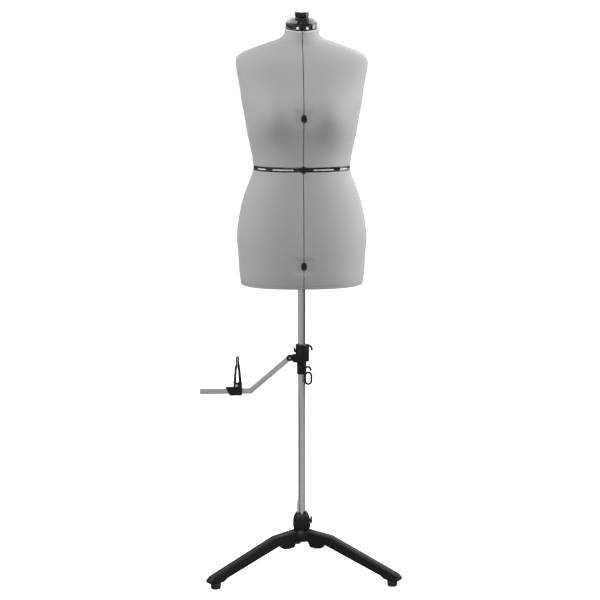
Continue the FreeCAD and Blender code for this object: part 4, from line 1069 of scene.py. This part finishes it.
@dataclass
class Belt:
    """The slotted waist belt: two rails, a web with long slots and a pale strip behind them."""

    inset: float = 1.5
    depth: float = 5.0
    half: float = 6.0
    rail: float = 1.9
    corner: float = 0.9
    lip: float = 0.6
    web_inset: float = 1.0
    slot_inset: float = 2.6
    slots: tuple = ((24.0, 82.0), (98.0, 120.0))
    end_block: float = 22.0
    start: float = 8.2

    def stations(self, face: Face) -> list[tuple[Vector, Vector]]:
        """Point and level outward direction for each step along a quarter."""
        found = []
        for k in range(141):
            turn = k / 140
            point = FIGURE.skin(Level.LOWER, WAIST_Z, turn, face)
            normal = FIGURE.normal(Level.LOWER, WAIST_Z, turn, face)
            normal.z = 0
            found.append((point, normal.normalized()))
        return found

    def loop(self, side: Side, face: Face, point: Vector, normal: Vector, section: Outline) -> list[Vector]:
        """A section's points where it crosses one station."""
        shift = quarter(side, face)
        found = []
        for out, up in section:
            spot = point + normal * (out - self.inset)
            found.append(ON_POLE @ (Vector((spot.x * side.value, spot.y, WAIST_Z + up)) + shift))
        return found

    def band(self, side: Side, face: Face) -> bpy.types.Object:
        """The moulded band of one quarter."""
        half, rail, corner, lip = self.half, self.rail, self.corner, self.lip
        loops = []
        for point, normal in self.stations(face):
            if point.x < self.start or abs(point.y) < self.start:
                continue
            web = self.web_inset
            if any(a < point.x < b for a, b in self.slots):
                web = self.slot_inset
            if point.x < self.end_block or abs(point.y) < self.end_block * 0.6:
                web = 0.0
            section = arc((-corner, half - corner), corner, 90, 0, 3)
            section += arc((-lip, rail + lip), lip, 0, -90, 2)
            section += [(-lip - web, rail), (-lip - web, -rail)]
            section += arc((-lip, -rail - lip), lip, 90, 0, 2)
            section += arc((-corner, -half + corner), corner, 0, -90, 3)
            section += [(-self.depth, -half), (-self.depth, half)]
            loops.append(self.loop(side, face, point, normal, section))
        return lofted(f"belt_{label(face)}_{label(side)}", loops, GLOSS_BLACK, sharp=50.0)

    def strip(self, side: Side, face: Face) -> bpy.types.Object:
        """The pale strips that show in the slots."""
        section = ((-1.5, 1.5), (-1.5, -1.5), (-2.9, -1.5), (-2.9, 1.5))
        strips = []
        for low, high in self.slots:
            loops = [
                self.loop(side, face, point, normal, section)
                for point, normal in self.stations(face) if low + 0.8 < point.x < high - 0.8
            ]
            strips.append(lofted("strip", loops, STRIP_PALE))
        return joined(f"belt_strip_{label(face)}_{label(side)}", strips)

    def make(self) -> None:
        """Makes the four quarters."""
        for side in Side:
            for face in Face:
                body = f"lower_{label(face)}_{label(side)}"
                settle(self.band(side, face), body, "gloss_black", f"waist_belt_{label(face)}_{label(side)}")
                settle(self.strip(side, face), body, "gloss_black")


# ------------------------------------------------------------------ neck
@dataclass
class Neck:
    """The neck unit: split collar, studs, domed cap and ribbed knob."""

    collar_r: float = 42.5
    collar_wall: float = 3.5
    collar_low: float = 0.4
    collar_height: float = 15.0
    split: float = 1.0
    cap_r: float = 41.0
    cap_low: float = 15.8
    cap_rise: float = 14.0
    cap_top_r: float = 25.0
    knob_r: float = 18.4
    knob_height: float = 13.4
    ribs: int = 36

    def place(self) -> Matrix:
        """The neck's own tilted frame, in millimetres."""
        return moved(ON_POLE, 0, 0, NECK_Z, NECK_TILT)

    def collar(self, side: Side) -> bpy.types.Object:
        """Half of the collar, rolled at both rims, with its lug."""
        low, high = self.collar_low, self.collar_low + self.collar_height
        inner, outer = self.collar_r - self.collar_wall, self.collar_r
        section = arc((outer - 1.4, high - 1.4), 1.4, 0, 90, 4) + [(inner, high), (inner, low)]
        section += arc((outer - 1.0, low + 1.0), 1.0, 270, 360, 3)
        section += [(outer, low + 2.4), (outer - 0.45, low + 2.9)]
        section += [(outer - 0.45, high - 3.6), (outer, high - 3.1)]
        gap = math.asin(self.split / inner)
        loops = []
        for k in range(49):
            angle = -math.pi / 2 + gap + (math.pi - 2 * gap) * k / 48
            way = Vector((math.cos(angle) * side.value, math.sin(angle), 0))
            loops.append([self.place() @ (way * r + Vector((0, 0, h))) for r, h in section])
        ring = bevelled(lofted("collar", loops, GLOSS_BLACK), 0.5 * MM, 2, 60.0)
        outline = oblong(14.0 * side.value, 40.5 * side.value, 4.4, 8.4)
        lug = block("lug", outline, (-6.0, 6.0), self.place(), GLOSS_BLACK)
        return joined(f"collar_{label(side)}", [ring, lug])

    def stud(self, side: Side) -> bpy.types.Object:
        """A domed bright stud beside the split."""
        turn = math.radians(17.0) * side.value
        way = Vector((math.sin(turn), -math.cos(turn), 0))
        foot = way * (self.collar_r - 0.7) + Vector((0, 0, self.collar_low + self.collar_height * 0.42))
        place = self.place() @ Matrix.Translation(foot) @ way.to_track_quat("Z", "X").to_matrix().to_4x4()
        profile = [(0, 0), (3.7, 0), (3.75, 0.9), (3.5, 1.5), (2.9, 1.9), (2.0, 2.3), (1.0, 2.55), (0, 2.6)]
        return turned(f"stud_{label(side)}", profile, place, STUD_PALE, 28, 60.0)

    def cap(self) -> bpy.types.Object:
        """The dome with its lip, drum and spigot, and the pointer and boss moulded on it."""
        low, rise = self.cap_low, self.cap_rise
        r, top_r, top = self.cap_r, self.cap_top_r, low + rise
        profile = [(0, -6), (30, -6), (30, low - 1.2), (30.6, low), (r - 0.5, low), (r, low + 0.5)]
        profile += [(r, low + 1.8), (r - 0.6, low + 2.4), (r - 1.6, low + 2.5)]
        for k in range(1, 13):
            t = k / 12
            radius = r - 1.6 - (r - 1.6 - top_r) * t
            profile.append((radius, low + 2.5 + (rise - 3.1) * math.sin(t * math.pi / 2)))
        profile += [(top_r - 0.6, top), (22.0, top), (21.4, top - 0.7), (0, top - 0.7)]
        dome = turned("dome", profile, self.place(), GLOSS_BLACK, 72, 30.0)
        profile = [(0, 0), (11.5, 0), (12.5, 1.2), (12.5, 34.0), (0, 36)]
        spigot = turned("spigot", profile, moved(ON_POLE, 0, 0, NECK_Z - 40.0), GLOSS_BLACK, 32)
        pointer = self.pointer()
        profile = [(0, -1), (5.4, -1), (5.4, 2.2), (4.9, 2.8), (3.4, 2.8), (3.1, 2.2), (0, 2.2)]
        place = moved(self.place(), 12.5, -31.0, low + 5.2, math.radians(42))
        boss = turned("boss", profile, place, SATIN_BLACK, 24)
        return joined("neck_dome", [dome, spigot, pointer, boss])

    def pointer(self) -> bpy.types.Object:
        """The small index tab in front of the knob."""
        outline = [(-5.0, 0.0), (5.0, 0.0), (3.6, 9.0), (1.4, 11.5), (-1.4, 11.5), (-3.6, 9.0)]
        place = moved(self.place(), 0, -37.5, self.cap_low + 2.2, math.radians(-48))
        return bevelled(block("pointer", outline, (-2.6, 0.6), place, GLOSS_BLACK), 0.6 * MM)

    def knob(self) -> list[bpy.types.Object]:
        """The knob's body and shaft, and the ribs round it."""
        low = self.cap_low + self.cap_rise + 0.4
        high = low + self.knob_height
        r = self.knob_r
        profile = [(0, 8.9), (3.9, 8.9), (3.9, low), (r - 1.2, low), (r - 0.8, low + 0.5)]
        profile += [(r - 0.8, high - 3.4), (r, high - 2.8)] + arc((r - 1.5, high - 1.5), 1.5, 0, 90, 5)
        profile += [(r - 4.0, high), (r - 4.6, high - 0.6), (0, high - 0.6)]
        body = turned("neck_knob", profile, self.place(), GLOSS_BLACK, 72, 35.0)
        shift = self.place() @ Vector((0, 0, (low + high - 3.4) / 2 + 0.2))
        ring = Repeat("knob_ribs", GLOSS_BLACK).make(
            "neck_knob_ribs", count=self.ribs, radius=(r - 0.75) * MM, shift=shift,
            turn=(NECK_TILT, 0.0, 0.0), block=(1.3 * MM, 1.5 * MM, (self.knob_height - 4.4) * MM),
        )
        return [body, bevelled(ring, 0.35 * MM, 1)]

    def make(self) -> None:
        """Makes the whole unit."""
        for side in Side:
            name = label(side)
            settle(self.collar(side), "neck_" + name, "gloss_black", "neck_collar_" + name)
            settle(self.stud(side), "neck_" + name, "fastener_steel", "neck_stud_" + name)
        settle(self.cap(), "upper_core", "gloss_black", "neck_cap")
        body, ribs = self.knob()
        settle(body, "neck_dial", "gloss_black", "neck_dial")
        settle(ribs, "neck_dial", "gloss_black")


# ------------------------------------------------------------------ base
@dataclass
class Base:
    """The three-leg base: one flowing casting, rubber feet and the locking knob."""

    leg_width: float = 24.0
    root: float = 17.0
    knee: tuple = (90.0, 114.0)
    end_r: float = 298.0
    depth: float = 29.0
    toe: tuple = (285.0, 36.0)
    foot_ring: float = 271.0
    foot_r: float = 14.5
    foot_height: float = 16.0
    hub_low: float = 91.0
    hub_high: float = 123.0
    lug_low: float = 74.0
    lug_end: float = 64.0
    knob_z: float = 146.0
    knob_r: float = 11.0
    knob_start: float = 24.1
    knob_reach: float = 28.5
    voxel: float = 1.25
    bore: float = 9.6
    scoop: float = 10.4
    scoop_z: float = 172.0
    squareness: float = 0.55
    block_levels: tuple = (
        (120.0, 18.5), (124.0, 21.5), (128.0, 23.3), (138.0, 23.6), (148.0, 23.0), (155.0, 21.5),
        (160.0, 19.6), (164.0, 17.4), (167.0, 15.4), (169.5, 13.2),
    )
    angles: tuple = (210.0, 330.0, 90.0)

    def towards(self, degrees: float) -> Matrix:
        """The frame, in millimetres, whose X axis runs along a leg."""
        return ON_POLE @ Matrix.Rotation(math.radians(degrees), 4, "Z")

    def leg(self, degrees: float) -> bpy.types.Object:
        """One leg as a plain bar with wide chamfers along its upper edges."""
        slope = (self.knee[1] - self.toe[1]) / (self.toe[0] - self.knee[0])
        flat = self.foot_ring - self.foot_r - 4
        under = self.knee[1] - slope * (flat - 14 - self.knee[0]) - self.depth
        outline = [(0.0, self.hub_high), (self.root, self.hub_high), self.knee, self.toe]
        outline += [(self.toe[0] + 7, self.toe[1] - 4.5), (self.end_r, 26.0), (self.end_r - 1.5, 19.0)]
        outline += [(self.end_r - 6, self.foot_height), (flat, self.foot_height)]
        outline += [(flat - 14, max(under, self.foot_height + 4))]
        outline += [(self.lug_end + 6, self.knee[1] - self.depth + 3)]
        outline += [(self.lug_end, self.lug_low + 2), (self.lug_end - 4, self.lug_low)]
        outline += [(self.root + 13, self.lug_low), (self.root + 7, self.hub_low - 2), (0.0, self.hub_low)]
        loops = []
        for across, drop in ((-1.0, 4.2), (-0.62, 0.0), (0.62, 0.0), (1.0, 4.2)):
            loop = []
            for k, (x, z) in enumerate(outline):
                lower = z - drop if k < 6 else z + drop * 0.35
                reach = x - (4.0 * abs(across) ** 3 if x > self.end_r - 8 else 0.0)
                loop.append(self.towards(degrees) @ Vector((reach, across * self.leg_width / 2, lower)))
            loops.append(loop)
        return lofted("leg_bar", loops, SATIN_BLACK)

    def casting(self) -> bpy.types.Object:
        """The legs and the hub run together as one moulding with softened corners."""
        low, high = self.hub_low, self.hub_high
        profile = [(0, low + 3), (9, low + 3), (13, low - 1), (24, low - 1), (27.5, low + 4), (28, low + 16)]
        profile += [(25, low + 24), (21.5, high - 3), (20.5, high), (0, high)]
        parts = [turned("hub_bar", profile, ON_POLE, SATIN_BLACK, 48)]
        parts += [self.leg(degrees) for degrees in self.angles]
        whole = joined("base_casting", parts)
        remesh = whole.modifiers.new("voxels", "REMESH")
        remesh.mode = "VOXEL"
        remesh.voxel_size = self.voxel * MM
        smooth = whole.modifiers.new("soften", "SMOOTH")
        smooth.factor = 0.5
        smooth.iterations = 5
        applied(whole)
        whole.data.materials.clear()
        whole.data.materials.append(paint(SATIN_BLACK))
        return whole

    def clamp_block(self) -> bpy.types.Object:
        """The rounded block that grips the pole, scooped out in front of it."""
        loops = []
        for z, half in self.block_levels:
            loop = []
            for k in range(64):
                turn = math.tau * k / 64
                across, along = (
                    math.copysign(abs(part) ** self.squareness, part)
                    for part in (math.cos(turn), math.sin(turn))
                )
                loop.append(ON_POLE @ Vector((across * half, along * half, z)))
            loops.append(loop)
        whole = lofted("clamp_block", loops, SATIN_BLACK)
        bore = [(0, 110.0), (self.bore, 110.0), (self.bore, 190.0), (0, 190.0)]
        cut_away(whole, turned("bore", bore, ON_POLE, SATIN_BLACK))
        scoop = [(0, 2), (self.scoop, 2), (self.scoop, 40), (0, 40)]
        place = moved(ON_POLE, 0, 0, self.scoop_z, math.pi / 2)
        cut_away(whole, turned("scoop", scoop, place, SATIN_BLACK))
        return bevelled(whole, 0.7 * MM, 2, 40.0)

    def feet(self) -> bpy.types.Object:
        """The rubber feet, each with a groove and a rounded tread."""
        r, high = self.foot_r, self.foot_height
        profile = [(0, 0), (r - 3.2, 0), (r - 2.0, 0.5), (r - 1.4, 1.6), (r - 1.0, 7.6), (r - 2.0, 8.2)]
        profile += [(r - 2.0, 9.2), (r - 0.8, 9.8), (r - 0.2, high - 1.4)]
        profile += [(r - 0.6, high - 0.5), (0, high + 0.4)]
        feet = []
        for degrees in self.angles:
            place = moved(self.towards(degrees), self.foot_ring, 0, 0)
            feet.append(turned("foot", profile, place, FOOT_RUBBER, 40, 35.0))
        return joined("base_feet", feet)

    def knob(self) -> list[bpy.types.Object]:
        """The locking knob's disc and shaft, and the grips round it."""
        r, start, end = self.knob_r, self.knob_start, self.knob_reach
        place = moved(ON_POLE, 0, 0, self.knob_z, math.pi / 2, "Y")
        profile = [(0, 10.2), (3.9, 10.2), (3.9, start), (r - 1.0, start), (r - 0.5, start + 0.6)]
        profile += [(r - 0.5, end - 1.6), (r - 1.8, end - 0.4), (r - 4.0, end - 0.1)]
        profile += [(r - 5.0, end - 0.7), (0, end - 0.7)]
        disc = turned("base_knob", profile, place, SATIN_BLACK, 48, 35.0)
        grips = Repeat("knob_grips", SATIN_BLACK).make(
            "base_knob_grips", count=14, radius=(r - 0.6) * MM, turn=(0.0, math.pi / 2, 0.0),
            shift=place @ Vector((0, 0, (start + end - 1.0) / 2)),
            block=(1.2 * MM, 2.0 * MM, (end - start - 1.6) * MM),
        )
        return [disc, bevelled(grips, 0.4 * MM, 2)]

    def make(self) -> None:
        """Makes the base's pieces."""
        settle(self.casting(), "stand", "satin_black", "base_hub", "leg_left", "leg_right", "leg_rear")
        settle(self.clamp_block(), "stand", "satin_black", "socket_collar")
        settle(self.feet(), "stand", "foot_rubber", "rubber_feet")
        disc, grips = self.knob()
        settle(disc, "socket_knob", "satin_black", "socket_knob")
        settle(grips, "socket_knob", "satin_black")


# ------------------------------------------------------------------ what keeps its CAD shape
def softened(node: str, finish: object, width: float) -> bpy.types.Object:
    """Copies a node's shape with its crisp edges rounded.

    Args:
        node: the CAD node.
        finish: the copy's finish.
        width: width of the rounding, in millimetres.

    Returns:
        The new piece, which stands for the node.
    """
    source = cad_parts[node]
    mesh = bpy.data.meshes.new_from_object(source)
    mesh.transform(source.matrix_world)
    piece = placed(node + "_moulding", mesh)
    cleaned(mesh, SEAM_WELD, 1.0)
    bevelled(piece, width * MM, 2, 40.0)
    mesh = piece.data
    mesh.materials.clear()
    mesh.materials.append(paint(finish))
    for polygon in mesh.polygons:
        polygon.material_index = 0
    return piece


@dataclass
class Mouldings:
    """The pieces that follow their CAD shapes: rounded copies and dressed nodes."""

    rounded: tuple = (
        ("marker_band", SATIN_BLACK, 0.7), ("marker_bracket", SATIN_BLACK, 0.7),
        ("marker_slider", SATIN_BLACK, 0.25), ("marker_jaw", SATIN_BLACK, 0.12),
        ("marker_ring_screw", SATIN_BLACK, 0.3), ("marker_arm", ARM_STEEL, 0.35),
        ("height_lock", SATIN_BLACK, 0.8),
    )
    dressed: tuple = (
        ("pole", CHROME), ("leg_screws", BRIGHT_STEEL), ("socket_sleeve", SLEEVE_GREY),
        ("marker_arm_pin", BRIGHT_STEEL), ("marker_jaw_screw", BRIGHT_STEEL),
        ("lower_frame", FRAME_STEEL), ("upper_frame", FRAME_STEEL),
    )

    def make(self) -> None:
        """Makes the rounded copies and dresses the nodes that stay."""
        for node, finish, width in self.rounded:
            settle(softened(node, finish, width), node, finish.name, node)
        for node, finish in self.dressed:
            dress(node, finish)
        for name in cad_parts:
            if "adjuster" in name or "_dial_" in name:
                dress(name, INNER_BLACK if "adjuster" in name else SATIN_BLACK)


# ------------------------------------------------------------------ studio
@dataclass(frozen=True)
class Paper:
    """Pale seamless paper that glows a little, so that it stays near white."""

    name: str = "studio_paper"
    tint: tuple = (0.88, 0.88, 0.88)
    glow: float = 1.0

    def build(self) -> bpy.types.Material:
        """Makes the material."""
        g = Graph(self.name)
        grain = g.noise(g.place(), 90.0, 2.0)
        color = g.mix(grain, self.tint, tuple(c * 0.97 for c in self.tint))
        return g.finish(
            Base_Color=color, Roughness=grain * 0.05 + 0.9, Emission_Color=color, Emission_Strength=self.glow,
        )


@dataclass(frozen=True)
class Card:
    """A plain card that only reflections see; its glow is its brightness."""

    name: str
    glow: float

    def build(self) -> bpy.types.Material:
        """Makes the material."""
        g = Graph(self.name)
        return g.finish(
            Base_Color=(0.0, 0.0, 0.0, 1.0), Roughness=1.0, Emission_Color=(1.0, 1.0, 1.0, 1.0),
            Emission_Strength=self.glow,
        )


@dataclass
class Studio:
    """Camera, pale seamless paper, soft lights and the cards that shape the reflections."""

    distance: float = 4.95
    height: float = 1.56
    azimuth: float = -3.0
    aim_z: float = 0.7511
    aim_x: float = -0.0045
    lens: float = 112.92
    daylight: float = 0.27
    card_distance: float = 1.9
    floor_r: float = 11.0
    bend_r: float = 3.0
    wall_top: float = 14.0
    cards: tuple = (
        ("front", -50.0, 56.0, 0.1, 0.95, Card("grey_card", 0.36)),
        ("streak", -78.0, -50.0, 0.1, 0.95, Card("pale_card", 0.60)),
        ("left", -100.0, -78.0, 0.1, 0.95, Card("mid_card", 0.30)),
        ("left_rear", -168.0, -100.0, 0.1, 0.95, Card("dusk_card", 0.12)),
        ("right_rear", 56.0, 168.0, 0.1, 0.95, Card("dark_card", 0.05)),
        ("low_front", -48.0, 76.0, -1.2, 0.1, Card("low_card", 0.45)),
        ("low_left", -168.0, -48.0, -1.2, 0.1, Card("low_left_card", 0.23)),
        ("low_right", 76.0, 168.0, -1.2, 0.1, Card("low_right_card", 0.26)),
        ("glint", 82.0, 102.0, 1.0, 2.1, Card("glint_card", 9.0)),
        ("glare", 102.0, 172.0, 1.0, 2.1, Card("glare_card", 2.2)),
        ("high_left", -160.0, -48.0, 2.2, 4.8, Card("high_left_card", 4.2)),
        ("high_right", 58.0, 150.0, 2.2, 4.8, Card("high_right_card", 4.2)),
        ("high_rear", 150.0, 200.0, 1.9, 3.6, Card("high_rear_card", 3.2)),
    )
    lights: tuple = (
        ("left_box", -86.0, 2.3, 1.55, (0.9, 2.6), 30.0, False),
        ("right_box", 88.0, 2.3, 1.55, (0.9, 2.6), 72.0, False),
        ("key_box", -18.0, 2.7, 3.3, (1.6, 1.6), 69.0, True),
        ("rear_box", 165.0, 3.0, 3.0, (1.6, 1.6), 34.0, False),
    )

    def camera(self) -> None:
        """A long lens a little left of the form's front, looking slightly down."""
        data = bpy.data.cameras.new("camera")
        data.lens = self.lens
        data.clip_end = 60.0
        camera = placed("camera", data)
        camera.location = self.around(self.azimuth, self.distance, self.height)
        self.point(camera, AXIS + Vector((self.aim_x, 0, self.aim_z)))
        bpy.context.scene.camera = camera

    def around(self, azimuth: float, distance: float, height: float) -> Vector:
        """A place round the form; azimuth 0 is in front of it and 90 on the viewer's right."""
        turn = math.radians(azimuth)
        return AXIS + Vector((math.sin(turn) * distance, -math.cos(turn) * distance, height))

    def point(self, thing: bpy.types.Object, aim: Vector) -> None:
        """Turns a camera or lamp towards a point."""
        thing.rotation_mode = "QUATERNION"
        thing.rotation_quaternion = (aim - thing.location).to_track_quat("-Z", "Y")

    def backdrop(self) -> None:
        """A wide round floor that curves up into a wall all round, seen only by the camera."""
        profile = [(0.0, 0.0), (self.floor_r, 0.0)]
        for k in range(1, 13):
            turn = math.pi / 2 * k / 12
            profile.append((self.floor_r + self.bend_r * math.sin(turn), self.bend_r * (1 - math.cos(turn))))
        profile.append((self.floor_r + self.bend_r, self.wall_top))
        floor = turned("studio_floor", profile, Matrix.Identity(4), Paper(), 96)
        hidden_from(floor, "diffuse", "glossy", "transmission", "shadow")

    def card(self, name: str, start: float, end: float, low: float, top: float, finish: Card) -> None:
        """An upright card between two azimuths that only mirror-like surfaces see."""
        steps = 12
        points, faces = [], []
        for k in range(steps + 1):
            foot = self.around(start + (end - start) * k / steps, self.card_distance, low)
            points += [foot, foot + Vector((0, 0, top - low))]
        for k in range(steps):
            faces.append([2 * k, 2 * k + 2, 2 * k + 3, 2 * k + 1])
        card = make_piece(name, points, faces, finish)
        hidden_from(card, "camera", "diffuse", "shadow", "transmission", "volume_scatter")

    def lamp(
        self, name: str, azimuth: float, distance: float, height: float, size: tuple, power: float,
        mirrored: bool,
    ) -> None:
        """One soft box that faces the form; glossy surfaces may be kept from mirroring it."""
        data = bpy.data.lights.new(name, "AREA")
        data.shape = "RECTANGLE"
        data.size, data.size_y = size
        data.energy = power
        lamp = placed(name, data)
        lamp.visible_glossy = mirrored
        lamp.location = self.around(azimuth, distance, height)
        self.point(lamp, AXIS + Vector((0, 0, 1.0)))

    def make(self) -> None:
        """Sets up the camera, the paper, the lights and the cards."""
        self.camera()
        self.backdrop()
        for row in self.lights:
            self.lamp(*row)
        for name, *row in self.cards:
            self.card("card_" + name, *row)
        world = bpy.data.worlds.new("studio")
        world.use_nodes = True
        ground = world.node_tree.nodes["Background"]
        ground.inputs["Color"].default_value = (1.0, 1.0, 1.0, 1.0)
        ground.inputs["Strength"].default_value = self.daylight
        bpy.context.scene.world = world
        bpy.context.scene.view_settings.view_transform = "Standard"


def main() -> None:
    """Builds the scene piece by piece."""
    logging.basicConfig(level=logging.INFO, format="%(name)s %(message)s")
    Studio().make()
    for unit in (Cover(), Belt(), Neck(), Base(), Mouldings()):
        unit.make()


if __name__ == "__main__":
    main()
